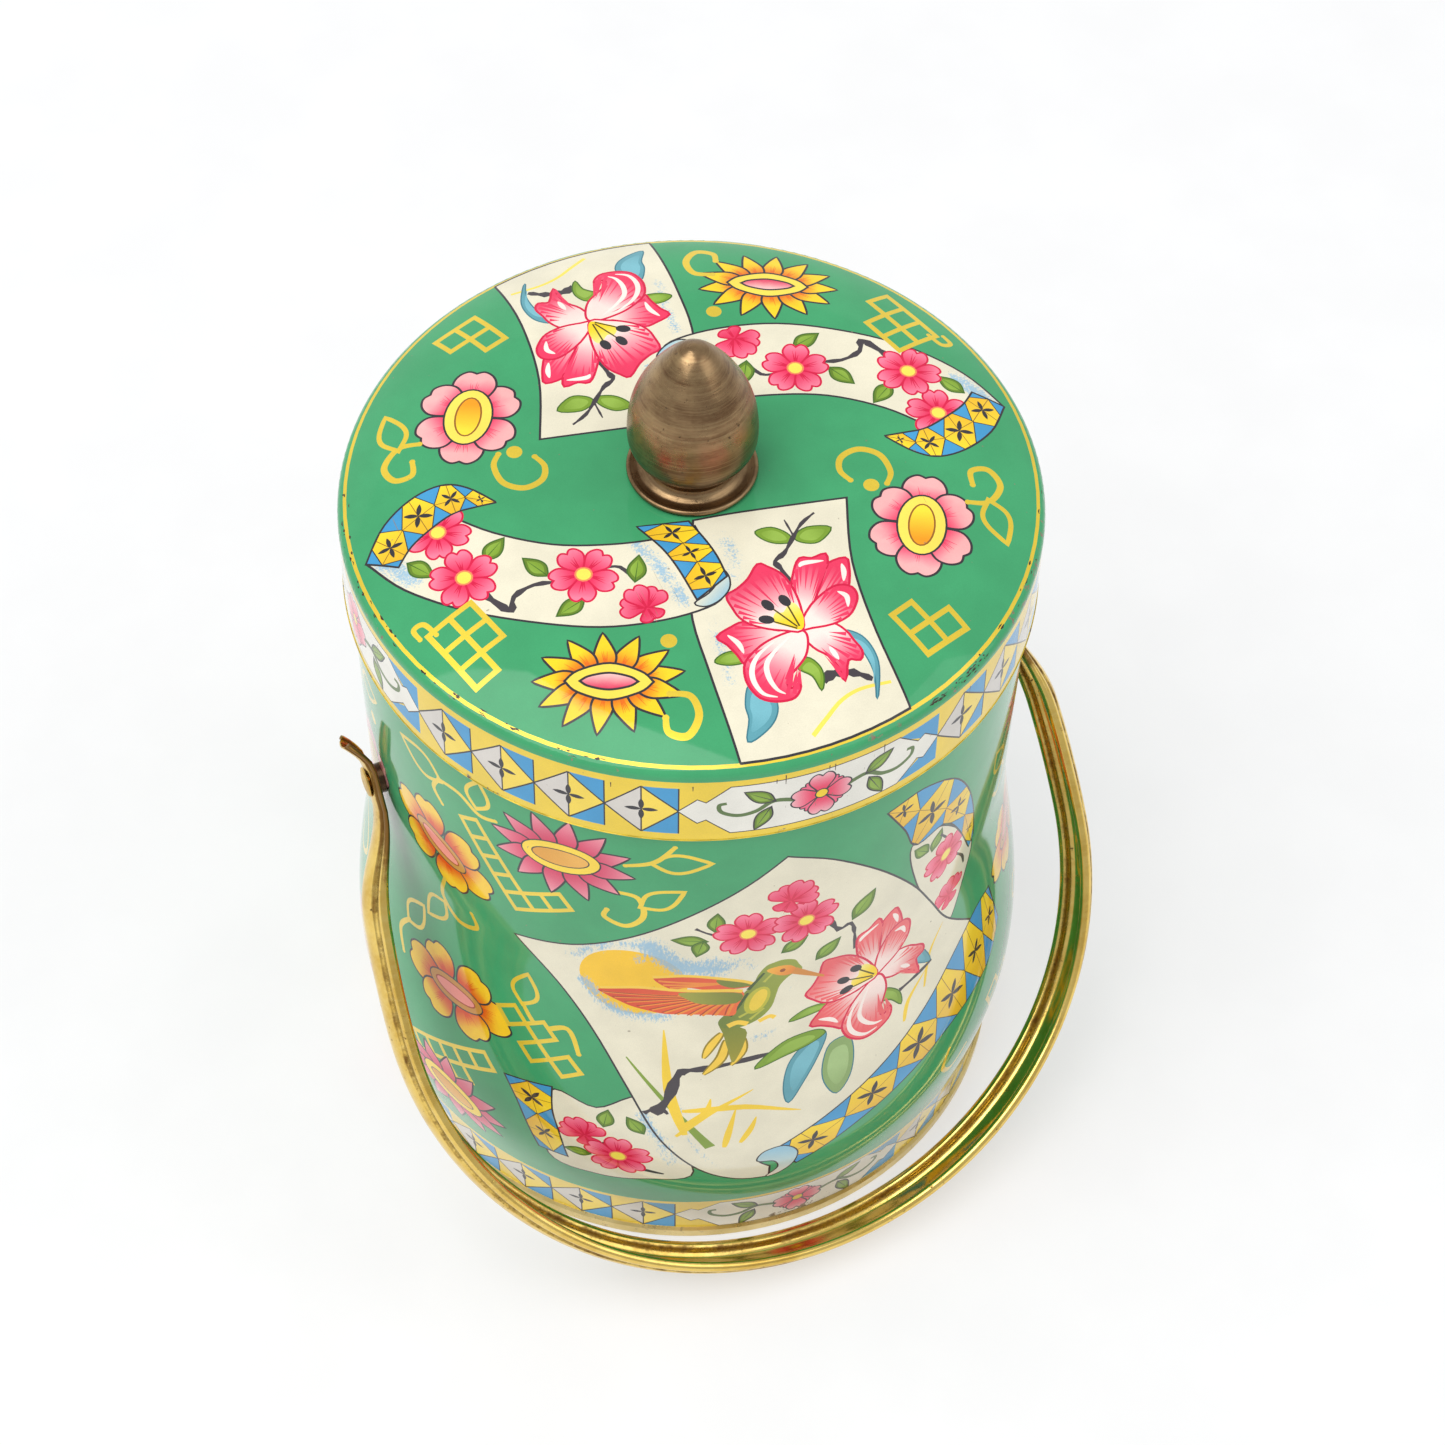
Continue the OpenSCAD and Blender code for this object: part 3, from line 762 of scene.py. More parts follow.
def bird():
    """A hovering bird with long red wings, in front of the sun."""
    red, flame, olive = (216, 78, 48, 0), (238, 142, 56, 0), (124, 134, 54, 0)
    amber = (246, 204, 74, 0)
    motif = blob(FAR_WING, Ink(red, (232, 96, 56, 0), -28 + 0j, -18 + 0j), 4)
    for end in (-28.4 + 87.8j, -27.6 + 86.6j, -26.4 + 85.8j):
        motif += line([-17 + 87j, (end - 17 + 86.4j) / 2 + 0.4j, end], flame, 0.55)
    motif += blob([-11.5 + 85.4j, -13.7 + 86.8j, -18 + 88.3j, -17.4 + 86.6j, -15 + 85.2j], Ink(olive))
    motif += line([-11.4 + 85.6j, -13.5 + 87.1j, -19 + 89.1j, -24 + 89.8j, -29.4 + 88.9j], amber, 0.8)
    for root, middle, tip, width in TAIL:
        path = spline([root, middle, tip])
        shade = ribbon(path, lambda t: 0.4 + width * math.sin(math.pi * (0.15 + 0.8 * t)))
        feather = ribbon(path, lambda t: 0.8 * width * math.sin(math.pi * (0.1 + 0.85 * t)))
        motif += [(shade, Ink((150, 130, 40, 0))), (feather, Ink(amber))]
    coverts = [
        -17.3 + 74.3j, -16.8 + 71.7j, -16 + 67.4j, -15.2 + 63.6j, -14.2 + 65j, -13 + 68.6j, -12.8 + 72.4j
    ]
    motif += blob(coverts, Ink(olive, (156, 150, 56, 0), -15 + 74j, -14.6 + 65j))
    motif += blob(BIRD_BODY, Ink((116, 132, 60, 0), (146, 158, 62, 0), -16 + 0j, -8 + 0j))
    for start, end in (
        (-12.4 + 84j, -9.6 + 88.6j), (-14 + 79.6j, -12.4 + 83j), (-15.6 + 76.6j, -13.6 + 80j)
    ):
        motif += line([start, end], (72, 92, 48, 0), 0.8, 0.4)
    for start, end in ((-14 + 76j, -11 + 78j), (-12 + 75j, -9.4 + 77.6j), (-9.6 + 85.6j, -8 + 88j)):
        motif += line([start, end], (186, 186, 74, 0), 0.6, 0.4)
    for at, breast, colour in (
        (-10.7 + 80.4j, ellipse(2.2, 4, 20), (190, 186, 60, 0)),
        (-10.5 + 80.4j, ellipse(1.4, 3.2, 20), (238, 206, 68, 0)),
    ):
        motif.append(([p * polar(1, -18) + at for p in breast], Ink(colour)))
    cheek = [-9.2 + 89.2j, -7 + 89.8j, -4.7 + 89.2j, -3.4 + 87j, -5.3 + 86.3j, -7.3 + 87.2j]
    motif += blob(cheek, Ink((242, 176, 62, 0), (226, 128, 50, 0), -8 + 90j, -4 + 86j))
    motif.append(([-3.6 + 88j, 2 + 82.6j, 1.8 + 82.1j, -4.6 + 86.4j], Ink((214, 140, 60, 0))))
    motif.append(([p - 6.2 + 88.2j for p in ellipse(0.55, steps=10)], Ink((150, 84, 40, 0))))
    motif += blob(NEAR_WING, Ink(red, (240, 112, 60, 0), -34 + 0j, -16 + 0j), 4)
    for i in range(11):
        t = i / 10
        root = -24.4 + 83.4j + (9.4 - 3.2j) * t
        tip = -38.6 + 81.8j + (22.6 - 4.6j) * t - 1.4j * math.sin(math.pi * t)
        motif += line([root, (root + tip) / 2 + 0.3j, tip], flame, 0.5)
        motif += line([root - 0.6, (root + tip) / 2 - 0.6 + 0.3j, tip - 0.5], (168, 70, 48, 0), 0.25)
    wing_root = [-13.6 + 83.2j, -19 + 84.4j, -24.8 + 84.3j, -23.3 + 82.3j, -20.7 + 80.8j, -14.5 + 80.4j]
    motif += blob(wing_root, Ink(olive, (160, 158, 66, 0), -14 + 83j, -24 + 82j))
    motif += line([-13.4 + 83.9j, -17 + 84.7j, -25 + 85.1j, -32 + 85.1j, -39 + 82.9j], amber, 1.0, 0.3)
    motif += line([-16 + 73.8j, -14.2 + 74.6j, -12.4 + 73.8j], amber, 1.2)
    motif += line([-10.4 + 74j, -8.4 + 74.9j, -7.4 + 74.2j], amber, 1.0)
    return motif


def scene_panel():
    """The wall's large scroll: a bird, a lily and blossom in front of the sun."""
    top = [-55.2 + 90j, -44 + 94j, -33 + 100.6j, -22 + 109j, -13 + 116.4j, -6.4 + 122.8j]
    right = [-6.4 + 122.8j, 2 + 118j, 11.5 + 108.5j, 20 + 96.5j, 26 + 85j, 31 + 75j, 38.4 + 66.2j]
    bottom = [38.4 + 66.2j, 24 + 56.4j, 10 + 46j, -6 + 36j, -9.6 + 35.2j, -10.6 + 32.4j, -8.6 + 29.6j]
    left = [
        -8.6 + 25.4j, -14.4 + 26.8j, -21 + 32j, -27.6 + 42j, -33.4 + 56j, -40 + 70j, -47 + 81j, -55.2 + 90j
    ]
    art = edged(spline(top) + spline(right) + spline(bottom) + spline(left), Ink(CREAM))
    art += [([p - 33 + 86.6j for p in ellipse(9.8, steps=40)], Ink(SUN))]
    art += line([-19 + 39.4j, -25 + 50j, -34 + 64.4j], (132, 158, 62, 0), 2.0, 0.85)
    for points, width in (
        ([-23.4 + 43.5j, -26.4 + 57j, -27.4 + 73j], 2.4), ([-25 + 43j, -19 + 50j, -11.5 + 55.4j], 1.4),
        ([-24 + 50.6j, -13 + 50.8j, -3 + 46.4j], 1.8), ([-16.6 + 39j, -15.8 + 44j, -14.6 + 50.6j], 1.5),
        ([-13.8 + 40j, -12 + 44j, -11 + 47.4j], 1.4), ([-24 + 46j, -20 + 50j, -19 + 54j], 1.6),
        ([18.6 + 57j, 20 + 62j, 24.6 + 66.4j], 1.2), ([24 + 62j, 26 + 70j, 30 + 75j], 0.9),
    ):
        def blade(t):
            return 0.1 + width * math.sin(math.pi * (0.12 + 0.84 * t)) * (1 - 0.5 * t)

        art.append((ribbon(spline(points), blade), Ink((244, 206, 62, 0))))
    art += twig(
        [-29 + 49.6j, -26.6 + 53.6j, -25 + 60j, -23.6 + 61.8j, -20 + 62.4j, -13 + 63.8j, -7 + 64.6j], 2.1
    )
    art += twig([-30.6 + 49.4j, -28 + 51.4j, -26.4 + 49.6j], 1.2)
    art += twig([18 + 66.4j, 22 + 67j, 26.4 + 67.6j], 1.2)
    art += twig([2.4 + 99.4j, 4.2 + 95.6j, 6.6 + 96j, 7.6 + 92j, 7.8 + 87j], 1.2)
    art += twig([-22 + 104.6j, -19 + 102.6j, -16 + 102.4j], 0.8)
    art += big_leaf([
        -5.2 + 49.6j, -6 + 54j, -5 + 60j, -2.4 + 64j, 0.8 + 66.6j, 2.2 + 65j, 0.4 + 60j, -2.6 + 54j
    ])
    art += big_leaf(
        [3.8 + 47.6j, 1.6 + 52j, 1.4 + 57j, 3 + 62j, 6.6 + 62j, 7.4 + 57j, 6.4 + 51j], (140, 168, 104, 0),
        DEEP_TEAL
    )
    art += green_leaf([-11 + 61j, -9 + 64j, -5 + 67j, 0 + 67.4j, 2 + 65.8j, -1 + 64.2j, -6 + 62.8j])
    art += green_leaf([18.2 + 62.6j, 18 + 66j, 15.6 + 69j, 13 + 70j, 13 + 67.4j, 16 + 65.6j])
    art += green_leaf([-4.6 + 72j, -2 + 74j, 1 + 74.2j, 4 + 73j, 0 + 72.4j])
    art += big_leaf([26 + 68j, 24 + 73j, 20 + 75.4j, 17.6 + 75j, 20.6 + 72.6j, 23 + 70j])
    art += placed(
        (leaf(7.4, 3.6), 7 + 97j, 56),
        (leaf(6, 3.2), 0.2 + 88.6j, 44),
        (leaf(5.4, 2.8), -6.4 + 94j, 36),
        (leaf(5.2, 2.8), -18.6 + 103.6j, 86),
        (leaf(6, 2.8), -20 + 100.6j, 176),
        (leaf(4.6, 2.8), -20.6 + 100.6j, -104),
    )
    art += moved(lily((240, 100, 104, 0)), at=13 + 75j, size=1.1, turn=38)
    art += bird()
    art += placed(
        (blossom(5.9), -12.8 + 101.8j, 0),
        (blossom(5.9), -2.3 + 102.2j, 8),
    )
    art += twig([-9.6 + 111.6j, -6.6 + 110.6j], 0.7)
    art += moved(bud(5.4), at=-5.4 + 109.6j, turn=-28)
    edge_top = [-7.4 + 35.6j, 3 + 42.4j, 14 + 49.4j, 24 + 56.4j, 33 + 63j, 41 + 66.4j, 47 + 65.6j]
    edge_low = [-3.4 + 28.4j, 8 + 35.2j, 19 + 40.4j, 29 + 44.2j, 38 + 45.8j, 44.6 + 47.6j, 49.6 + 53j]
    art += scroll_edge(edge_top, edge_low, 6)
    roll = [
        -10.6 + 32.6j, -9.4 + 35.4j, -6 + 36j, -3.6 + 33j, -4.2 + 28.8j, -6.6 + 26j, -8.8 + 25.4j,
        -6.8 + 28.4j, -7.6 + 31.4j
    ]
    art += edged(spline(roll, closed=True), Ink(CREAM, PALE_BLUE, -8 + 26j, -5 + 35j), LINE, 0.3)
    return art


WALL_DUST = (  # (path, radius, strength)
    ([-42 + 84j, -36 + 77j, -27 + 76.6j], 1.8, 1), ([-30 + 98.6j, -25 + 93j, -18 + 92j], 3, 1.1),
    ([-44 + 91j, -38 + 96.6j, -31 + 98.6j], 1.6, 0.9), ([-24 + 52j, -22 + 40j, -16 + 31j], 1.1, 0.6),
    ([-28 + 96.4j, -33 + 93.6j], 0.8, 1.1), ([-31 + 49j, -25 + 34j], 1.5, 1),
    ([-22 + 77j, -16 + 74.4j], 1, 0.5), ([-8 + 70.6j, -11 + 69.4j], 1.6, 0.7),
    ([-6 + 81j, -3.4 + 83j], 1.4, 0.4), ([-18 + 95j, -12 + 92j], 1.8, 0.7),
)


def wall_dust(points):
    patches = Dust(WALL_DUST)
    return np.maximum(patches.at(points), patches.at(points - ROUND / 2), patches.at(points + ROUND / 2))


def wall_half():
    """Half of what is printed round the wall."""
    art = moved(hollow_leaf(10, 5.4), at=-71 + 122.6j, turn=170)
    art += curl([-71 + 122.8j, -66 + 123.4j, -61.6 + 121j, -58 + 122j], 0.9)
    art += curl([-71 + 122.6j, -72.6 + 119j, -70.6 + 116j], 0.9)
    art += placed(
        (hollow_leaf(7, 4), -62 + 123j, 84),
        (hollow_leaf(9, 4.4), -29 + 123.6j, 2),
    )
    art += curl([-34 + 122j, -29 + 124j, -25.6 + 128.6j], 0.9)
    art += curl([-36.6 + 113.8j, -32 + 113j, -31 + 107.6j, -34 + 104j, -37.8 + 105.6j, -37.4 + 108j], 1.0)
    art += placed(
        (hollow_leaf(8, 4.2), -31 + 110.6j, 36),
        (lattice([0, -1j, -2j, -3j, -4j, 1 - 4j, 2 - 4j]), -63 + 116j, 31),
        (orange_flower(), -72.4 + 102j, -18),
    )
    art += curl([-72 + 92j, -73 + 86j, -69 + 82j, -64.4 + 84j, -65.4 + 87.6j], 1.0)
    art += placed(
        (hollow_leaf(8.6, 4.2), -73 + 83.4j, -120),
        (hollow_leaf(9, 4.6), -83.4 + 67j, 64),
    )
    art += curl([-83.4 + 67j, -86 + 62j, -84 + 57j], 1.0)
    art += placed(
        (orange_flower(13 + 9.4j), -69 + 61j, 3),
        (hollow_leaf(8, 4.4), -54 + 70.4j, 84),
    )
    art += curl([-54 + 70j, -50.4 + 65.4j, -45 + 68j, -42.6 + 62j], 1.0)
    art += placed(
        (lattice([0, 1 - 1j, 2j, 1 + 1j]), -51 + 58.4j, 36),
        (lattice([0, 1, 2, 3, 4, 2 - 1j]), -76 + 38j, 34),
        (oval_daisy(), -45.6 + 119.6j, 8),
        (oval_daisy(12.4 + 10j), -69 + 30j, -14),
    )

    # ribbons that run out from behind the large scroll
    low_ribbon = [-47.6 + 49j, -39 + 48.4j, -30 + 53j, -22 + 31j, -30 + 27j, -39 + 25.4j, -47.8 + 28j]
    art += edged(spline(low_ribbon, 6, closed=True), Ink(CREAM), LINE, 0.35)
    art += twig([-38 + 38j, -32 + 31.6j, -27 + 29.6j], 1.2)
    art += placed(
        (leaf(5, 2.8), -37.6 + 43.4j, 82),
        (leaf(5, 2.8), -30.6 + 43.2j, 124),
        (leaf(4.6, 2.4), -40 + 33j, 184),
        (bud(5), -41 + 39j, 24),
        (blossom(5.8), -35 + 34.4j, 0),
    )
    art += scroll_edge(
        [-47.4 + 50.4j, -47.2 + 44j, -46 + 38j, -44.4 + 29.4j],
        [-56.4 + 48j, -54 + 43j, -52 + 37j, -49.6 + 29.4j], 2,
    )
    high_ribbon = [
        19 + 109j, 26 + 108.4j, 33 + 100j, 38.4 + 90j, 36 + 80j, 31 + 73.4j, 26 + 85j, 21.4 + 96j
    ]
    art += edged(spline(high_ribbon, 6, closed=True), Ink(CREAM), LINE, 0.35)
    art += placed(
        (leaf(5, 2.8), 24.6 + 102.6j, 66),
        (leaf(5, 2.8), 23.4 + 103.6j, 134),
    )
    art += twig([26.6 + 105.6j, 28.6 + 102.6j], 0.7)
    art += twig([32 + 94j, 35 + 90j, 36 + 86.6j], 0.9)
    art += placed(
        (blossom(5.6), 29 + 97j, 12),
        (bud(5), 31.6 + 81.4j, 10),
    )
    art += scroll_edge(
        [12.6 + 124.4j, 20 + 125j, 28 + 120.4j, 33.6 + 112j, 37 + 102j, 38.6 + 92j],
        [12.6 + 124.4j, 17 + 116j, 20 + 109j, 27.4 + 108.4j, 33 + 100j, 37.4 + 90j], 4,
    )
    art += scene_panel()

    # what fills the space to the right of the large scroll
    art += placed(
        (oval_daisy(), 62 + 112j, -8),
        (hollow_leaf(8, 4.2), 50 + 100j, 118),
    )
    art += curl([50 + 100j, 53.6 + 95j, 50.4 + 91j, 47.4 + 93.6j], 1.0)
    art += placed(
        (lattice([0, 1j, 1 + 1j, 1 + 2j]), 66 + 86j, 24),
        (orange_flower(), 62 + 68j, 14),
    )
    art += curl([74 + 66j, 80 + 64j, 82 + 58j, 78 + 54.6j, 75 + 57.6j], 1.0, 80.4 + 73j)
    art += placed(
        (hollow_leaf(8, 4.2), 62 + 48j, -70),
        (lattice([0, 1, 1 - 1j, 2 - 1j]), 66 + 36j, -20),
    )
    art += curl([30 + 36j, 28.6 + 31j, 31.6 + 27j, 36 + 29.4j], 1.0)
    art += placed(
        (lattice([0, 1j, 1 + 0j]), 48 + 30j, 24),
        (hollow_leaf(8, 4.2), 88 + 119j, 16),
    )
    art += curl([88 + 119j, 83 + 121j, 79.6 + 117.6j, 82 + 113.6j, 85.4 + 114.6j], 1.0, 93 + 113j)
    art += placed(
        (pink_flower(), 88 + 97j, 24),
        (hollow_leaf(7.6, 4), 86 + 80j, 64),
    )
    art += curl([86 + 80j, 88.6 + 75.4j, 86 + 71.6j], 1.0)
    art += moved(oval_daisy(12 + 9.6j), at=85 + 34j, turn=12)
    return art


FOOT_GOLD_TOP = 15.3
FOOT_BORDER_H, FOOT_BORDER_Z = 11, 8.6


def wall_picture(low, high, lid_line):
    """The wall: green, bordered at the foot, and plain gold lacquer where the lid covers it."""
    art = wall_half()
    art += moved(wall_half(), at=-ROUND / 2 + 0j)
    art += [(band(low, FOOT_GOLD_TOP), Ink(GOLD))]
    art += border(FOOT_BORDER_H, FOOT_BORDER_Z)
    art += [(band(lid_line, high), Ink((226, 206, 120, 0.8)))]
    for end, inward in ((LEFT, 1), (RIGHT, -1)):
        strip = [complex(end, low), complex(end + inward * SEAM_HALF, low)]
        strip += [complex(end + inward * SEAM_HALF, lid_line), complex(end, lid_line)]
        art += [(strip, Ink(GREEN))]
    return art


# ---------------------------------------------------------------- printed sheet metal


def srgb_to_linear(colours):
    c = np.asarray(colours, float)
    rgb = c[..., :3] / 255
    linear = np.where(rgb <= 0.04045, rgb / 12.92, ((rgb + 0.055) / 1.055) ** 2.4)
    return np.concatenate([linear, c[..., 3:]], -1)


def inside(points, outline):
    """Which of an array of points lie within an outline."""
    loop = np.array(outline)
    ahead = np.roll(loop, -1)
    winding = np.zeros(len(points), int)
    for a, b in zip(loop, ahead):
        side = ((b - a).conjugate() * (points - a)).imag
        winding += (a.imag <= points.imag) & (b.imag > points.imag) & (side > 0)
        winding -= (a.imag > points.imag) & (b.imag <= points.imag) & (side < 0)
    return winding != 0


def wrapped(art):
    """The artwork with whatever crosses the ends of the sheet carried over to the other end."""
    out = []
    for outline, ink in art:
        out.append((outline, ink))
        low, high = min(p.real for p in outline), max(p.real for p in outline)
        for crosses, shift in ((low < LEFT - 1e-6, ROUND), (high > RIGHT + 1e-6, -ROUND)):
            if crosses:
                out += moved([(outline, ink)], at=shift + 0j)
    return out


LONGEST_EDGE = 2.2  # of a printed outline, so that it follows its curved sheet
WELD = 0.003  # points of neighbouring sheets closer than this become one
SLIVER = 0.001  # edges shorter than this are dissolved


class Shell:
    """The faces of one piece of sheet metal, in millimetres: printed sheets, joined by plain rings."""

    def __init__(self):
        self.points, self.normals, self.faces = [], [], []
        self.inks, self.slots, self.chalk = [], [], []

    def sheet(self, art, edge, filler, surface, dust, hole=None):
        """A green sheet inside edge, cut along every printed line of art, laid on surface(points)."""
        shapes = [(edge, Ink(GREEN))] + densified(art, LONGEST_EDGE)
        flat, edges = [], []
        for outline, _ in shapes + ([(hole, None)] if hole else []):
            first, n = len(flat), len(outline)
            flat += [Vector((p.real, p.imag)) for p in outline]
            edges += [(first + i, first + (i + 1) % n) for i in range(n)]
        flat += [Vector((p.real, p.imag)) for p in filler]
        cut, _, triangles, *_ = delaunay_2d_cdt(flat, edges, [], 0, 1e-4, False)
        at = np.array([complex(*p) for p in cut])
        triangles = np.array(triangles)
        middles = at[triangles].mean(1)
        keep = inside(middles, edge)
        if hole:
            keep &= ~inside(middles, hole)
        triangles, middles = triangles[keep], middles[keep]
        colours = np.zeros((len(triangles), 3, 4))
        chalky = np.zeros(len(triangles))
        for outline, ink in shapes:
            loop = np.array(outline)
            near = (middles.real > loop.real.min()) & (middles.real < loop.real.max())
            near &= (middles.imag > loop.imag.min()) & (middles.imag < loop.imag.max())
            near = np.flatnonzero(near)
            hit = near[inside(middles[near], outline)]
            colours[hit] = ink.at(at[triangles[hit]])
            chalky[hit] = ink.chalky
        step = 0.05  # over which the surface's slope is taken
        place = surface(at)
        normal = np.cross(surface(at + step) - place, surface(at + step * 1j) - place)
        normal /= np.linalg.norm(normal, axis=1)[:, None]
        chalk = dust(at)[triangles] * chalky[:, None]
        self.add(place, normal, triangles.tolist(), srgb_to_linear(colours), 0, chalk.ravel())

    def rings(self, profile, ink=GOLD, slot=1):
        """Plain rings through a list of (radius, height), in the columns of the sheets' edges."""
        azimuths = LEFT / ART_R + 2 * np.pi * np.arange(COLUMNS) / COLUMNS
        around = np.stack([np.sin(azimuths), -np.cos(azimuths), np.zeros(COLUMNS)], -1)
        rows = [around * r + (0, 0, z) for r, z in profile]
        faces = []
        for i in range(len(profile) - 1):
            low, high = i * COLUMNS, (i + 1) * COLUMNS
            for k in range(COLUMNS):
                n = (k + 1) % COLUMNS
                faces.append([low + k, low + n, high + n, high + k])
        place = np.concatenate(rows)
        colours = np.tile(srgb_to_linear([ink]), (len(faces), 4, 1))
        self.add(place, np.zeros_like(place), faces, colours, slot, [0] * (4 * len(faces)))

    def add(self, place, normal, faces, colours, slot, chalk):
        first = len(self.points)
        self.points += place.tolist()
        self.normals += normal.tolist()
        self.faces += [[first + i for i in face] for face in faces]
        self.inks += [corner for face in colours for corner in face]
        self.slots += [slot] * len(faces)
        self.chalk += list(chalk)

    def build(self, name, materials, wear):
        """The mesh, welded. wear(points) says how rubbed the print is at each point, from 0 to 1."""
        mesh = bpy.data.meshes.new(name)
        mesh.from_pydata([[c * MM for c in p] for p in self.points], [], self.faces)
        ink = mesh.color_attributes.new("ink", "FLOAT_COLOR", "CORNER")
        ink.data.foreach_set("color", np.array(self.inks, np.float32).ravel())
        chalk = mesh.attributes.new("chalk", "FLOAT", "CORNER")
        chalk.data.foreach_set("value", np.array(self.chalk, np.float32))
        normal = mesh.attributes.new("true_normal", "FLOAT_VECTOR", "POINT")
        normal.data.foreach_set("vector", np.array(self.normals, np.float32).ravel())
        rubbed = mesh.attributes.new("wear", "FLOAT", "POINT")
        rubbed.data.foreach_set("value", wear(np.array(self.points)).astype(np.float32))
        mesh.polygons.foreach_set("material_index", self.slots)
        work = bmesh.new()
        work.from_mesh(mesh)
        bmesh.ops.remove_doubles(work, verts=work.verts, dist=WELD * MM)
        bmesh.ops.dissolve_degenerate(work, edges=work.edges, dist=SLIVER * MM)
        bmesh.ops.recalc_face_normals(work, faces=work.faces)
        work.to_mesh(mesh)
        work.free()
        mesh.polygons.foreach_set("use_smooth", [True] * len(mesh.polygons))
        count = len(mesh.vertices)
        given = np.zeros(count * 3, np.float32)
        mesh.attributes["true_normal"].data.foreach_get("vector", given)
        own = np.zeros(count * 3, np.float32)
        mesh.vertex_normals.foreach_get("vector", own)
        given, own = given.reshape(-1, 3), own.reshape(-1, 3)
        plain = np.linalg.norm(given, axis=1) < 0.5
        given[plain] = own[plain]
        mesh.normals_split_custom_set_from_vertices(given.tolist())
        mesh.attributes.remove(mesh.attributes["true_normal"])
        for material in materials:
            mesh.materials.append(material)
        return show(name, mesh)


def show(name, mesh):
    thing = bpy.data.objects.new(name, mesh)
    bpy.context.scene.collection.objects.link(thing)
    return thing


def ease(t):
    return (1 - np.cos(np.pi * t)) / 2


def wall_radius(z):
    """The wall's outside radius at a height: foot, belly and neck joined by smooth sweeps."""
    low = FOOT_R + (BELLY_R - FOOT_R) * ease(np.clip((z - WALL_LOW.z) / (BELLY_Z - WALL_LOW.z), 0, 1))
    high = BELLY_R + (NECK_R - BELLY_R) * ease(np.clip((z - BELLY_Z) / (NECK_Z - BELLY_Z), 0, 1))
    return np.where(z < BELLY_Z, low, high)


def turned(x, radius, z):
    """Points on a surface of revolution, x millimetres round the artwork."""
    azimuth = x / ART_R
    return np.stack([radius * np.sin(azimuth), -radius * np.cos(azimuth), z], -1)


def wall_surface(p):
    from_seam = np.minimum(np.abs(p.real - LEFT), np.abs(p.real - RIGHT))
    lift = SEAM_RISE * np.clip((SEAM_HALF - from_seam) / SEAM_SLOPE, 0, 1)
    faded = np.clip((WALL_HIGH.z - 3 - p.imag) / 2, 0, 1) * np.clip((p.imag - WALL_LOW.z - 0.5) / 2, 0, 1)
    return turned(p.real, wall_radius(p.imag) + lift * faded, p.imag)


def skirt_radius(z):
    share = (SHOULDER_Z - z) / (SHOULDER_Z - LID_LOW.z)
    return LID_R + SKIRT_DRAFT * np.clip(share, 0, 1)


def skirt_surface(p):
    return turned(p.real, skirt_radius(p.imag), p.imag)


SHEET_R = EDGE_R + SHOULDER_R * SHOULDER_START  # the lid's top and shoulder, laid flat


def dome_z(r):
    edge_z = SHOULDER_Z + SHOULDER_R * math.sin(SHOULDER_START)
    return edge_z + DOME_H * (1 - (np.clip(r, 12, EDGE_R) / EDGE_R) ** DOME_POWER)


def lid_surface(p):
    """The lid's top out to EDGE_R, then down round its shoulder."""
    reach = np.maximum(np.abs(p), 1e-9)
    angle = SHOULDER_START - np.clip(reach - EDGE_R, 0, None) / SHOULDER_R
    radius = np.where(reach < EDGE_R, reach, LID_R - SHOULDER_R + SHOULDER_R * np.cos(angle))
    z = np.where(reach < EDGE_R, dome_z(reach), SHOULDER_Z + SHOULDER_R * np.sin(angle))
    return np.stack([p.real / reach * radius, p.imag / reach * radius, z], -1)


def strip_edge(low, high, rows):
    """The outline of a sheet that goes right round, with the rings' columns along its long sides."""
    xs = [LEFT + ROUND * i / COLUMNS for i in range(COLUMNS + 1)]
    ys = [low + (high - low) * i / rows for i in range(1, rows)]
    edge = [complex(x, low) for x in xs] + [complex(RIGHT, y) for y in ys]
    return edge + [complex(x, high) for x in xs[::-1]] + [complex(LEFT, y) for y in ys[::-1]]


def strip_filler(low, high, pitch):
    """Points inside a sheet, close enough together that it follows its curve."""
    columns = round(ROUND / pitch)
    rows = round((high - low) / pitch)
    points = []
    for j in range(1, rows):
        for i in range(1, columns):
            shift = 0.5 * (j % 2)
            x = LEFT + ROUND * (i + shift) / (columns + 0.5)
            points.append(complex(x, low + (high - low) * j / rows))
    fine_rows = 2 * rows
    for x in (SEAM_HALF + SEAM_SLOPE, SEAM_HALF, SEAM_HALF - SEAM_SLOPE):
        for j in range(1, fine_rows):
            y = low + (high - low) * j / fine_rows
            points += [complex(LEFT + x, y), complex(RIGHT - x, y)]
    return points


def arc(centre_r, centre_z, radius, start, end, steps):
    """Points of a round edge, in degrees above level."""
    angles = [math.radians(start + (end - start) * i / steps) for i in range(steps + 1)]
    return [(centre_r + radius * math.cos(a), centre_z + radius * math.sin(a)) for a in angles]


INSET = 0.01  # the artwork stops this far from a sheet's edge
COVERED = 1.5  # the plain gold band starts this far above the lid's hem


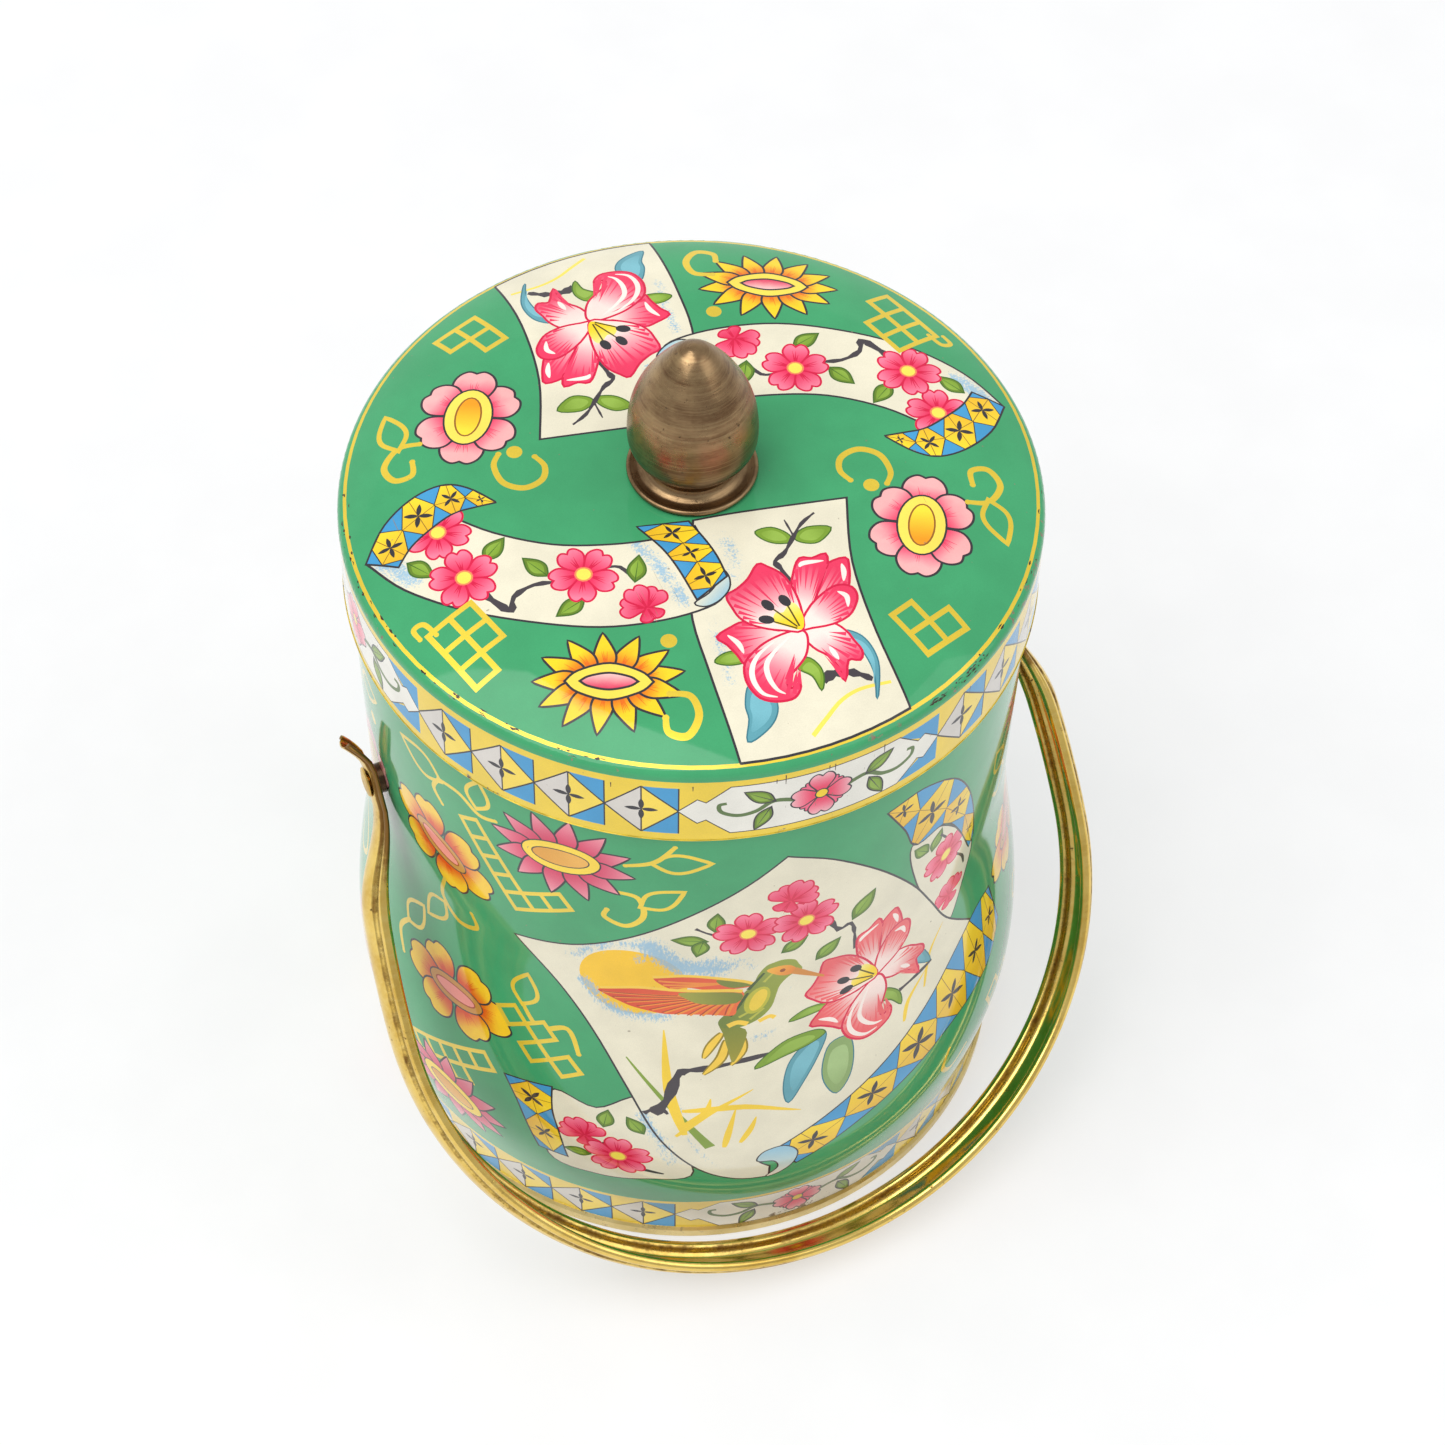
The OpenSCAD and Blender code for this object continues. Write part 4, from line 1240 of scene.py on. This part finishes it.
def make_wall(materials):
    """The wall: printed outside and plain inside, with a curled rim."""
    rows, pitch = 70, 2.4
    low, high = WALL_LOW.z, WALL_HIGH.z - RIM_CURL_R
    lid_line = LID_LOW.z + COVERED
    shell = Shell()
    art = wrapped(wall_picture(low + INSET, high - INSET, lid_line))
    shell.sheet(art, strip_edge(low, high, rows), strip_filler(low, high, pitch), wall_surface, wall_dust)
    curl_r = float(wall_radius(high)) - RIM_CURL_R
    rim = arc(curl_r, high, RIM_CURL_R, 0, 270, 14)
    rim = [(float(wall_radius(high)), high)] + rim[1:]
    inner = [(float(wall_radius(z)) - TIN_T, float(z)) for z in np.linspace(high - 1.6, low, 40)]
    shell.rings(rim + inner + [(float(wall_radius(low)), low)])

    def wear(p):
        on_foot = np.clip(1 - np.abs(p[:, 2] - low) / 3, 0, 1)
        on_rim = np.clip(1 - (WALL_HIGH.z - p[:, 2]) / 4, 0, 1)
        return on_foot * 0.8 + on_rim

    return shell.build("printed_wall", materials, wear)


def make_lid(materials):
    """The lid: a printed top and skirt, plain inside, with a rolled hem."""
    ring_step, pitch, skirt_rows = 2, 2.2, 8
    shoulder_rings = (58.7, 59.2, 59.7)
    shell = Shell()
    azimuths = [math.degrees(LEFT / ART_R) - 90 + 360 * i / COLUMNS for i in range(COLUMNS)]
    edge = [polar(SHEET_R, azimuth) for azimuth in azimuths]
    hole = [polar(SCREW_HOLE_R, azimuth) for azimuth in azimuths]
    filler = []
    for r in np.arange(2 * ring_step, SHEET_R - 0.4, ring_step):
        n = round(2 * math.pi * r / pitch)
        shift = 0.5 * (round(r) % (2 * ring_step) == 0)
        filler += [polar(r, 360 * (i + shift) / n) for i in range(n)]
    filler += [polar(r, 360 * i / 180) for r in shoulder_rings for i in range(180)]
    shell.sheet(lid_picture(), edge, filler, lid_surface, lid_dust, hole)
    low = LID_LOW.z + HEM_R
    skirt_art = wrapped(skirt_picture(low + INSET, SHOULDER_Z))
    skirt_edge = strip_edge(low, SHOULDER_Z, skirt_rows)
    skirt_filler = strip_filler(low, SHOULDER_Z, pitch)
    shell.sheet(skirt_art, skirt_edge, skirt_filler, skirt_surface, lambda points: np.zeros(points.shape))
    hem_out = float(skirt_radius(low))
    hem = arc(hem_out - HEM_R + HEM_STEP, low, HEM_R, 0, -180, 10)
    hem = [(hem_out, low)] + hem
    shell.rings(hem + [(hem_out - TIN_T, low)], GOLD, 0)
    inner = [(hem_out - TIN_T, low), (LID_R - TIN_T, SHOULDER_Z)]
    inner += arc(LID_R - SHOULDER_R, SHOULDER_Z, SHOULDER_R - TIN_T, 14, 56, 4)
    inner += [(float(r), float(dome_z(r)) - TIN_T) for r in np.linspace(EDGE_R - 0.4, SCREW_HOLE_R, 24)]
    shell.rings(inner + [(SCREW_HOLE_R, float(dome_z(SCREW_HOLE_R)))])

    def wear(p):
        r = np.hypot(p[:, 0], p[:, 1])
        on_shoulder = np.clip(1 - np.hypot(r - LID_R, p[:, 2] - SHOULDER_Z - 1) / 2.2, 0, 1)
        on_hem = np.clip(1 - (p[:, 2] - LID_LOW.z) / 2.5, 0, 1)
        return np.maximum(on_shoulder, on_hem * 0.8)

    return shell.build("printed_lid", materials, wear)


# ---------------------------------------------------------------- turned and stamped brass


def smooth_piece(name, work, material):
    """The object made of a bmesh, in one material."""
    bmesh.ops.recalc_face_normals(work, faces=work.faces)
    mesh = bpy.data.meshes.new(name)
    work.to_mesh(mesh)
    work.free()
    mesh.polygons.foreach_set("use_smooth", [True] * len(mesh.polygons))
    mesh.materials.append(material)
    return show(name, mesh)


def turned_piece(name, profile, material):
    """A solid turned on the caddy's axis. profile runs from the bottom of the axis to its top."""
    columns = 96
    work = bmesh.new()
    rows = []
    for r, z in profile:
        if r < 1e-6:
            rows.append([work.verts.new((0, 0, z * MM))])
        else:
            angles = [2 * math.pi * k / columns for k in range(columns)]
            ring = [(r * MM * math.cos(a), r * MM * math.sin(a), z * MM) for a in angles]
            rows.append([work.verts.new(place) for place in ring])
    for below, above in zip(rows, rows[1:]):
        for k in range(columns):
            n = (k + 1) % columns
            corners = [below[k % len(below)], below[n % len(below)]]
            corners += [above[n % len(above)], above[k % len(above)]]
            work.faces.new(list(dict.fromkeys(corners)))
    return smooth_piece(name, work, material)


def make_knob(material):
    """The acorn: a round belly that draws in to a blunt tip."""
    foot, tip = KNOB_LOW.z, KNOB_HIGH.z
    foot_r, belly_r = 7.0, KNOB_HIGH.x
    belly_z, belly_h = foot + 8.1, 8
    belly = [cmath.rect(1, a) for a in np.radians([-44, -30, -15, 0])]
    points = [complex(foot_r + 0.25, foot + 0.4)]
    points += [complex(belly_r * p.real, belly_z + belly_h * p.imag) for p in belly]
    height = tip - belly_z
    shares = (  # of the way from the belly up to the tip, and of the belly's width
        (0.18, 0.985), (0.34, 0.93), (0.48, 0.84), (0.6, 0.73),
        (0.7, 0.62), (0.8, 0.49), (0.9, 0.34), (0.96, 0.22),
    )
    points += [complex(belly_r * r, belly_z + height * u) for u, r in shares]
    points += [complex(belly_r * 0.08, tip - 0.1)]
    body = [(p.real, p.imag) for p in spline(points, 4)]
    return turned_piece("acorn_knob", [(0, foot), (foot_r, foot)] + body + [(0, tip)], material)


def make_collar(material):
    """The pressed collar: a dish with a rolled lip, rising in the middle to hold the acorn."""
    low, high = COLLAR_LOW.z, COLLAR_HIGH.z
    rim_r = COLLAR_HIGH.x
    lip = 0.5
    profile = [(0, low), (rim_r - 0.4, low)]
    profile += arc(rim_r - lip, low + 0.85, lip, -70, 120, 9)
    hollow = [  # from just inside the lip to the seat that the acorn stands on
        complex(rim_r - 1.2, low + 0.85), complex(rim_r - 2.1, low + 0.75),
        complex(rim_r - 2.9, low + 1.15), complex(rim_r - 3.4, low + 1.7), complex(rim_r - 3.7, high),
    ]
    profile += [(p.real, p.imag) for p in spline(hollow, 4)]
    return turned_piece("acorn_collar", profile + [(0, high)], material)


PIVOT = Vector(SWING["pos_m"]) / MM
DROOP = (SWING["range_deg"][1] - 180) / 2  # how far below level the bail hangs
LOOP_R = BAIL_HIGH.x
LEG_L = 48  # from the pivot to the middle of the loop's arc
LEG_BEND_R = 225  # the legs bow inwards on this radius
STRAP_W = 11.5
STRAP_DEPTH = 4.0
STRAP_T = 0.5
BEAD_R = 1.05  # the rolled edges
BLADE_IN = 59.6  # the flattened end's inner face
BLADE_T = 1.6
BLADE_W = 10
BLADE_TIP = 7.5  # from the pivot to its end
BLADE_CORNER = 1.7  # the rounding at its end
FLARE = 2.9  # how far the end leans out from the wall
FLARE_START = 3  # from the pivot to where it starts to lean
BLADE_ROOT = 4  # from the pivot to where it starts to open into the channel
LEG_START = 26  # from the pivot to where the channel is full


def strap_outline():
    """The channel's section as (across, depth): a bowed web with a rolled bead along each edge."""
    web_half = STRAP_W / 2 - BEAD_R
    rise = STRAP_DEPTH - 2 * BEAD_R + STRAP_T / 2
    web_r = (web_half**2 + rise**2) / (2 * rise)

    def web(across, inset):
        return complex(across, web_r - math.sqrt((web_r - inset) ** 2 - across**2))

    outer = [web(web_half * 0.78 * i / 8, 0) for i in range(9)]
    bead_at = complex(web_half, STRAP_DEPTH - BEAD_R)
    bead = [bead_at + polar(BEAD_R, a) for a in np.linspace(-140, 205, 19)]
    inner = [web(web_half * 0.7 * i / 7, STRAP_T) for i in range(7, -1, -1)]
    half = outer + bead + inner
    return half + [complex(-p.real, p.imag) for p in half[-2:0:-1]]


def bail_stations():
    """From the +X tip to the middle of the loop: (outside point, how open the channel is, its width)."""
    stations = []
    blade_out = BLADE_IN + BLADE_T
    half_width = BLADE_W / 2
    for t in (7.46, 7.3, 6.9, 6.2, 5.2, 4, 2.5, 1, -1, -3, -5):  # along the flat end, from its tip
        flare = FLARE * max(0, (t - FLARE_START) / (BLADE_TIP - FLARE_START)) ** 1.5
        into_tip = max(0.0, t - (BLADE_TIP - BLADE_CORNER)) / BLADE_CORNER
        cut = BLADE_CORNER * (1 - math.sqrt(1 - into_tip**2))
        stations.append((complex(blade_out + flare, -t), 0.0, 1 - cut / half_width))
    for s in np.linspace(0.06, 0.94, 14):  # along the taper
        y = BLADE_ROOT + (LEG_START - BLADE_ROOT) * s
        leg_x = LOOP_R - LEG_BEND_R + math.sqrt(LEG_BEND_R**2 - (LEG_L - y) ** 2)
        sweep = 1 - (1 - s) ** 3 * (1 + 3 * s)
        out = complex(blade_out + (leg_x - blade_out) * sweep, y)
        stations.append((out, float(ease(min(1.15 * s, 1))), 1))
    leg_angle = math.asin((LEG_L - LEG_START) / LEG_BEND_R)
    for i in range(12):  # down the bowed leg
        a = -leg_angle * (1 - i / 12)
        stations.append((complex(LOOP_R - LEG_BEND_R, LEG_L) + cmath.rect(LEG_BEND_R, a), 1, 1))
    for i in range(49):  # round a quarter of the loop
        stations.append((complex(0, LEG_L) + cmath.rect(LOOP_R, math.pi / 2 * i / 48), 1, 1))
    return stations


def make_bail(material):
    """The bail, swept along its whole length in its own plane and then hung at its rest angle."""
    channel = strap_outline()
    pinch = BLADE_T / STRAP_DEPTH
    half = bail_stations()
    full = half + [(complex(-at.real, at.imag), k, w) for at, k, w in half[-2::-1]]
    angle = -math.radians(DROOP)
    out_way = Vector((0, -math.cos(angle), math.sin(angle)))
    across_way = Vector((0, -math.sin(angle), -math.cos(angle)))
    work = bmesh.new()
    crease = work.verts.layers.float.new("crease")
    bead_foot = STRAP_W / 2 - 2 * BEAD_R
    rows = []
    for i, (at, k, w) in enumerate(full):
        ahead = full[min(i + 1, len(full) - 1)][0] - full[max(i - 1, 0)][0]
        inward = 1j * ahead / abs(ahead)
        row = []
        for c in channel:
            spot = at + inward * c.imag * (pinch + (1 - pinch) * k)
            across = c.real * w * (BLADE_W / STRAP_W + (1 - BLADE_W / STRAP_W) * k)
            place = PIVOT + Vector((spot.real, 0, 0)) + out_way * spot.imag + across_way * across
            vert = work.verts.new(place * MM)
            by_bead = max(0, 1 - abs(abs(c.real) - bead_foot) / 0.7)
            by_edge = max(0, 1 - abs(abs(c.real) - STRAP_W / 2) / 1.6)
            vert[crease] = 0.5 * by_bead + (1 - k) * (0.3 + by_edge)
            row.append(vert)
        rows.append(row)
    n = len(channel)
    for one, two in zip(rows, rows[1:]):
        for j in range(n):
            work.faces.new([one[j], one[(j + 1) % n], two[(j + 1) % n], two[j]])
    work.faces.new(rows[0])
    work.faces.new(rows[-1][::-1])
    return smooth_piece("brass_bail", work, material)


# ---------------------------------------------------------------- materials


class Nodes:
    """A short way to build a node tree."""

    def __init__(self, name):
        self.material = bpy.data.materials.new(name)
        self.material.use_nodes = True
        self.tree = self.material.node_tree
        self.shader = self.tree.nodes["Principled BSDF"]

    def node(self, kind, values=None, **settings):
        made = self.tree.nodes.new(kind)
        for key, value in settings.items():
            setattr(made, key, value)
        for key, value in (values or {}).items():
            if isinstance(value, bpy.types.NodeSocket):
                self.tree.links.new(value, made.inputs[key])
            else:
                made.inputs[key].default_value = value
        return made

    def noise(self, scale, detail=3, roughness=0.55, where=None):
        values = {"Scale": scale, "Detail": detail, "Roughness": roughness}
        values["Vector"] = where or self.place()
        return self.node("ShaderNodeTexNoise", values).outputs["Fac"]

    def place(self):
        """The point's place on the piece, which stays with it when it moves."""
        return self.node("ShaderNodeTexCoord").outputs["Object"]

    def stretched(self, scale):
        return self.node("ShaderNodeMapping", {"Vector": self.place(), "Scale": scale}).outputs["Vector"]

    def ramp(self, value, low, high, start=0.0, end=1.0):
        values = {"Value": value, "From Min": low, "From Max": high, "To Min": start, "To Max": end}
        return self.node("ShaderNodeMapRange", values, interpolation_type="SMOOTHSTEP").outputs["Result"]

    def math(self, operation, a, b):
        return self.node("ShaderNodeMath", {0: a, 1: b}, operation=operation).outputs[0]

    def times(self, a, b):
        return self.math("MULTIPLY", a, b)

    def mix(self, share, a, b, blend="MIX"):
        made = self.node("ShaderNodeMix", data_type="RGBA", blend_type=blend)
        factor, first, second = made.inputs[0], made.inputs[6], made.inputs[7]  # its colour sockets
        for socket, value in zip((factor, first, second), (share, a, b)):
            if isinstance(value, bpy.types.NodeSocket):
                self.tree.links.new(value, socket)
            else:
                socket.default_value = value
        return made.outputs[2]

    def grey(self, shade):
        return self.node("ShaderNodeCombineColor", {0: shade, 1: shade, 2: shade}).outputs[0]

    def attribute(self, name, output="Fac"):
        return self.node("ShaderNodeAttribute", attribute_name=name).outputs[output]

    def finish(self, links, **numbers):
        """Links and plain numbers for the shader's own sockets."""
        for key, socket in links.items():
            self.tree.links.new(socket, self.shader.inputs[key])
        for key, value in numbers.items():
            self.shader.inputs[key.replace("_", " ")].default_value = value
        return self.material

    def metal(self, colour, rough, normal, metallic=1.0):
        """The finished material of a plain metal."""
        return self.finish({"Base Color": colour, "Roughness": rough, "Normal": normal}, Metallic=metallic)

    def bump(self, height, strength, distance):
        values = {"Height": height, "Strength": strength, "Distance": distance}
        return self.node("ShaderNodeBump", values).outputs["Normal"]


CHALK_BLUE = (0.20, 0.46, 0.68, 1)


def printed_tin():
    """Inks on tinplate under a gloss varnish, chipped where the sheet is bent, with fine scratches."""
    n = Nodes("printed_tin")
    ink = n.attribute("ink", "Color")
    metal = n.attribute("ink", "Alpha")
    grit = n.noise(1, 3, 0.75, n.stretched((2600, 2600, 900)))
    grit = n.ramp(grit, 0.3, 0.7, 0, 0.6)
    dust = n.ramp(n.math("ADD", n.times(n.attribute("chalk"), 0.9), grit), 0.72, 1.12, 0, 0.75)
    ink = n.mix(dust, ink, CHALK_BLUE)
    tone = n.ramp(n.noise(90, 4), 0.3, 0.7, 0.93, 1.04)
    grain = n.ramp(n.noise(5200, 2, 0.7), 0.2, 0.8, 0.95, 1.05)
    shade = n.times(tone, grain)
    colour = n.mix(1.0, ink, n.grey(shade), "MULTIPLY")
    rub = n.times(n.attribute("wear"), n.ramp(n.noise(420, 5, 0.7), 0.52, 0.64))
    chips = n.ramp(n.times(rub, n.ramp(n.noise(55, 2), 0.45, 0.62)), 0.3, 0.5)
    scratch = n.ramp(n.noise(1, 2, 0.5, n.stretched((2600, 90, 500))), 0.735, 0.75)
    scratch = n.times(scratch, n.ramp(n.noise(60, 2), 0.58, 0.66))
    speck = n.ramp(n.noise(900, 1), 0.79, 0.82)
    bare = n.math("MAXIMUM", chips, n.times(n.math("MAXIMUM", scratch, speck), 0.6))
    rust = n.mix(n.noise(1500, 3), (0.12, 0.07, 0.04, 1), (0.36, 0.30, 0.22, 1))
    colour = n.mix(bare, colour, rust)
    smudge = n.ramp(n.noise(38, 5, 0.6), 0.3, 0.75, 0.28, 0.42)
    height = n.math("SUBTRACT", n.noise(260, 2, 0.4), n.times(bare, 0.5))
    links = {"Base Color": colour, "Metallic": metal, "Roughness": smudge}
    links["Normal"] = n.bump(height, 0.25, 0.00004)
    return n.finish(links, Coat_Weight=1.0, Coat_Roughness=0.06, Coat_IOR=1.36, Specular_IOR_Level=0.02)


def bare_tin():
    """Tinplate inside: dull grey metal with faint spangle and spots."""
    n = Nodes("bare_tin")
    cells = n.node("ShaderNodeTexVoronoi", {"Vector": n.place(), "Scale": 260.0}).outputs["Color"]
    spangle = n.node("ShaderNodeRGBToBW", {0: cells}).outputs[0]
    colour = n.mix(n.ramp(spangle, 0.2, 0.9), (0.52, 0.49, 0.43, 1), (0.66, 0.63, 0.57, 1))
    spots = n.ramp(n.noise(300, 5, 0.7), 0.66, 0.74)
    colour = n.mix(spots, colour, (0.22, 0.15, 0.09, 1))
    rough = n.ramp(n.noise(120, 3), 0.3, 0.7, 0.28, 0.48)
    return n.metal(colour, rough, n.bump(n.noise(700, 3), 0.2, 0.00005))


def polished_brass():
    """Lacquered brass: gold, with brown tarnish in the creases and dark flecks where lacquer is lost."""
    n = Nodes("bail_brass")
    crease = n.attribute("crease")
    cloud = n.ramp(n.noise(120, 5, 0.65), 0.35, 0.7)
    colour = n.mix(cloud, (0.84, 0.60, 0.16, 1), (0.68, 0.44, 0.09, 1))
    streak = n.ramp(n.noise(1, 3, 0.6, n.stretched((160, 900, 900))), 0.4, 0.75)
    colour = n.mix(n.times(streak, 0.35), colour, (0.90, 0.70, 0.26, 1))
    tarnish = n.math("ADD", n.times(crease, 0.8), n.times(n.noise(220, 5, 0.75), 0.9))
    tarnish = n.ramp(tarnish, 0.68, 1.0)
    colour = n.mix(n.times(tarnish, 0.85), colour, (0.16, 0.06, 0.015, 1))
    fleck = n.ramp(n.noise(800, 4, 0.7), 0.62, 0.68)
    fleck = n.times(fleck, n.ramp(n.noise(75, 3), 0.48, 0.6))
    colour = n.mix(n.times(fleck, 0.85), colour, (0.09, 0.04, 0.015, 1))
    worn = n.math("MAXIMUM", tarnish, fleck)
    rough = n.math("ADD", n.ramp(n.noise(60, 4), 0.3, 0.7, 0.13, 0.24), n.times(worn, 0.35))
    height = n.math("SUBTRACT", n.noise(380, 3), n.times(worn, 0.7))
    return n.metal(colour, rough, n.bump(height, 0.35, 0.00006))


def aged_brass():
    """Dark brass handled for years: brown patina, rubbed paler in patches, with turning marks."""
    n = Nodes("knob_brass")
    cloud = n.ramp(n.noise(1, 6, 0.7, n.stretched((90, 90, 420))), 0.32, 0.68)
    colour = n.mix(cloud, (0.15, 0.08, 0.038, 1), (0.34, 0.22, 0.112, 1))
    rubbed = n.ramp(n.noise(60, 5, 0.7), 0.48, 0.7)
    colour = n.mix(n.times(rubbed, 0.6), colour, (0.52, 0.37, 0.18, 1))
    # The acorn is made darker towards its foot, above the collar, fading out 17 mm up.
    z = n.node("ShaderNodeSeparateXYZ", {0: n.place()}).outputs["Z"]
    over_collar = n.ramp(z, (COLLAR_HIGH.z - 0.2) * MM, (COLLAR_HIGH.z + 0.8) * MM)
    darker_low = n.times(over_collar, n.ramp(z, (KNOB_LOW.z + 3) * MM, (KNOB_LOW.z + 17) * MM, 0.55, 0.0))
    colour = n.mix(darker_low, colour, (0.10, 0.052, 0.028, 1))
    pits = n.ramp(n.noise(1000, 4, 0.7), 0.62, 0.7)
    colour = n.mix(n.times(pits, 0.75), colour, (0.05, 0.03, 0.02, 1))
    rings = n.noise(1, 4, 0.7, n.stretched((14, 14, 2300)))
    colour = n.mix(n.ramp(rings, 0.4, 0.7, 0.0, 0.35), colour, (0.46, 0.33, 0.17, 1))
    rough = n.ramp(n.noise(110, 5, 0.65), 0.3, 0.7, 0.2, 0.4)
    height = n.math("ADD", n.times(rings, 1.6), n.math("SUBTRACT", n.noise(320, 3), pits))
    return n.metal(colour, rough, n.bump(height, 0.3, 0.00008), 0.95)


def rivet_brass():
    """Brass rivets: their heads as bright as the bail, their shoulders painted dark against the wall, as
    dirt and as painted shade.
    """
    n = Nodes("rivet_brass")
    along = n.node("ShaderNodeSeparateXYZ", {0: n.place()}).outputs["X"]
    head_from = (BLADE_IN + BLADE_T) * MM
    head = n.ramp(n.math("ABSOLUTE", along, 0.0), head_from - 0.2 * MM, head_from + 0.2 * MM)
    bright = n.mix(n.ramp(n.noise(260, 4), 0.35, 0.65), (0.74, 0.50, 0.13, 1), (0.50, 0.31, 0.07, 1))
    # Dirt and painted shade: the shoulders, between the blade and the wall, are near black.
    colour = n.mix(head, (0.075, 0.045, 0.025, 1), bright)
    rough = n.ramp(n.noise(300, 3), 0.3, 0.7, 0.2, 0.4)
    return n.metal(colour, rough, n.bump(n.noise(500, 3), 0.2, 0.00005))


def zinc_steel():
    """Plated fasteners: grey with a faint yellow cast and fine scratches."""
    n = Nodes("zinc_steel")
    colour = n.mix(n.ramp(n.noise(300, 4), 0.3, 0.7), (0.50, 0.49, 0.45, 1), (0.64, 0.62, 0.55, 1))
    rough = n.ramp(n.noise(900, 3), 0.3, 0.7, 0.3, 0.5)
    return n.metal(colour, rough, n.bump(n.noise(1400, 2), 0.2, 0.00004))


def gold_lacquer():
    """The base: tinplate under a thin gold lacquer, scuffed where it stands."""
    n = Nodes("base_tin")
    colour = n.mix(n.ramp(n.noise(140, 5), 0.3, 0.7), (0.62, 0.47, 0.17, 1), (0.78, 0.62, 0.28, 1))
    scuffs = n.ramp(n.noise(620, 5, 0.7), 0.6, 0.7)
    colour = n.mix(n.times(scuffs, 0.7), colour, (0.34, 0.26, 0.16, 1))
    rough = n.ramp(n.noise(200, 4), 0.3, 0.7, 0.24, 0.42)
    return n.metal(colour, rough, n.bump(n.noise(500, 3), 0.2, 0.00005), 0.9)


def plain_floor():
    """White paper, lit a little from within so that the background stays white."""
    n = Nodes("floor")
    shade = n.ramp(n.noise(30, 3), 0.3, 0.7, 0.43, 0.45)
    glow = {"Emission_Color": (1, 1, 1, 1), "Emission_Strength": 0.485}
    return n.finish({"Base Color": n.grey(shade)}, Roughness=0.7, Specular_IOR_Level=0.2, **glow)


# ---------------------------------------------------------------- the pieces in their places

tin_print = printed_tin()
tin_inside = bare_tin()
bail_brass = polished_brass()
knob_brass = aged_brass()
rivets = rivet_brass()
steel = zinc_steel()

PIECES = (  # each piece, the body it rides on, the CAD node it replaces and its material slot
    (make_wall((tin_print, tin_inside)), "tin", "body_wall", "printed_tin"),
    (make_lid((tin_print, tin_inside)), "lid", "lid_shell", "printed_tin"),
    (make_knob(knob_brass), "lid", "knob", "knob_brass"),
    (make_collar(knob_brass), "lid", "knob_collar", "knob_brass"),
    (make_bail(bail_brass), "handle", "bail_handle", "bail_brass"),
)
for piece, body, node, slot in PIECES:
    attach(piece, body)
    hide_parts(node)

KEPT = {  # CAD pieces that are shown as they are
    "body_base": gold_lacquer(),
    "knob_screw": steel,
    "knob_washer": steel,
    "left_rivet_washer": steel,
    "right_rivet_washer": steel,
    "left_pivot_rivet": rivets,
    "right_pivot_rivet": rivets,
}
for node, material in KEPT.items():
    slots = frame["nodes"][node].data.materials
    for i in range(len(slots)):
        slots[i] = material
    if not slots:
        slots.append(material)

# ---------------------------------------------------------------- floor, light and camera


def make_floor():
    """A plain floor that curves up behind into a backdrop."""
    depth, rise, bend, width = 3.0, 2.4, 0.8, 4.0
    path = [(-depth, 0.0)]
    sweep = np.radians(range(0, 91, 6))
    path += [(depth - bend + bend * math.sin(a), bend - bend * math.cos(a)) for a in sweep]
    path += [(depth, rise)]
    verts = [(x, y, z) for y, z in path for x in (-width, width)]
    faces = [(2 * i, 2 * i + 1, 2 * i + 3, 2 * i + 2) for i in range(len(path) - 1)]
    mesh = bpy.data.meshes.new("floor")
    mesh.from_pydata(verts, [], faces)
    mesh.polygons.foreach_set("use_smooth", [True] * len(mesh.polygons))
    mesh.materials.append(plain_floor())
    floor = show("floor", mesh)


TARGET = Vector((0, 0, 0.1))  # what the lights are aimed at, in metres


def area_light(name, at, size, watts):
    """A square soft light, placed in metres."""
    data = bpy.data.lights.new(name, "AREA")
    data.shape = "SQUARE"
    data.size = size
    data.energy = watts
    light = bpy.data.objects.new(name, data)
    bpy.context.scene.collection.objects.link(light)
    light.location = at
    light.rotation_mode = "QUATERNION"
    light.rotation_quaternion = (TARGET - Vector(at)).to_track_quat("-Z", "Y")


def make_light():
    world = bpy.data.worlds.new("studio")
    world.use_nodes = True
    background = world.node_tree.nodes["Background"].inputs
    background["Color"].default_value = (0.95, 0.97, 1.0, 1)
    background["Strength"].default_value = 0.6
    bpy.context.scene.world = world
    area_light("window", at=(-0.9, -0.2, 2.0), size=1.8, watts=32)
    area_light("fill", at=(1.0, -0.8, 1.2), size=1.2, watts=5)


def make_camera():
    """The photograph's view: from the front left, well above, and tipped a little."""
    aim = Vector((5.6, -2.5, 84.5)) * MM
    distance = 578.24 * MM
    azimuth, elevation, roll = math.radians(-23.5), math.radians(53.31), math.radians(1.52)
    level = math.cos(elevation)
    back = Vector((math.sin(azimuth) * level, -math.cos(azimuth) * level, math.sin(elevation)))
    data = bpy.data.cameras.new("camera")
    data.sensor_width = 36
    data.lens = 78.4
    data.clip_start, data.clip_end = 0.01, 20
    camera = bpy.data.objects.new("camera", data)
    bpy.context.scene.collection.objects.link(camera)
    camera.location = aim + back * distance
    camera.rotation_mode = "QUATERNION"
    camera.rotation_quaternion = (-back).to_track_quat("-Z", "Y") @ Quaternion((0, 0, 1), roll)
    bpy.context.scene.camera = camera


make_floor()
make_light()
make_camera()
bpy.context.scene.view_settings.view_transform = "Standard"
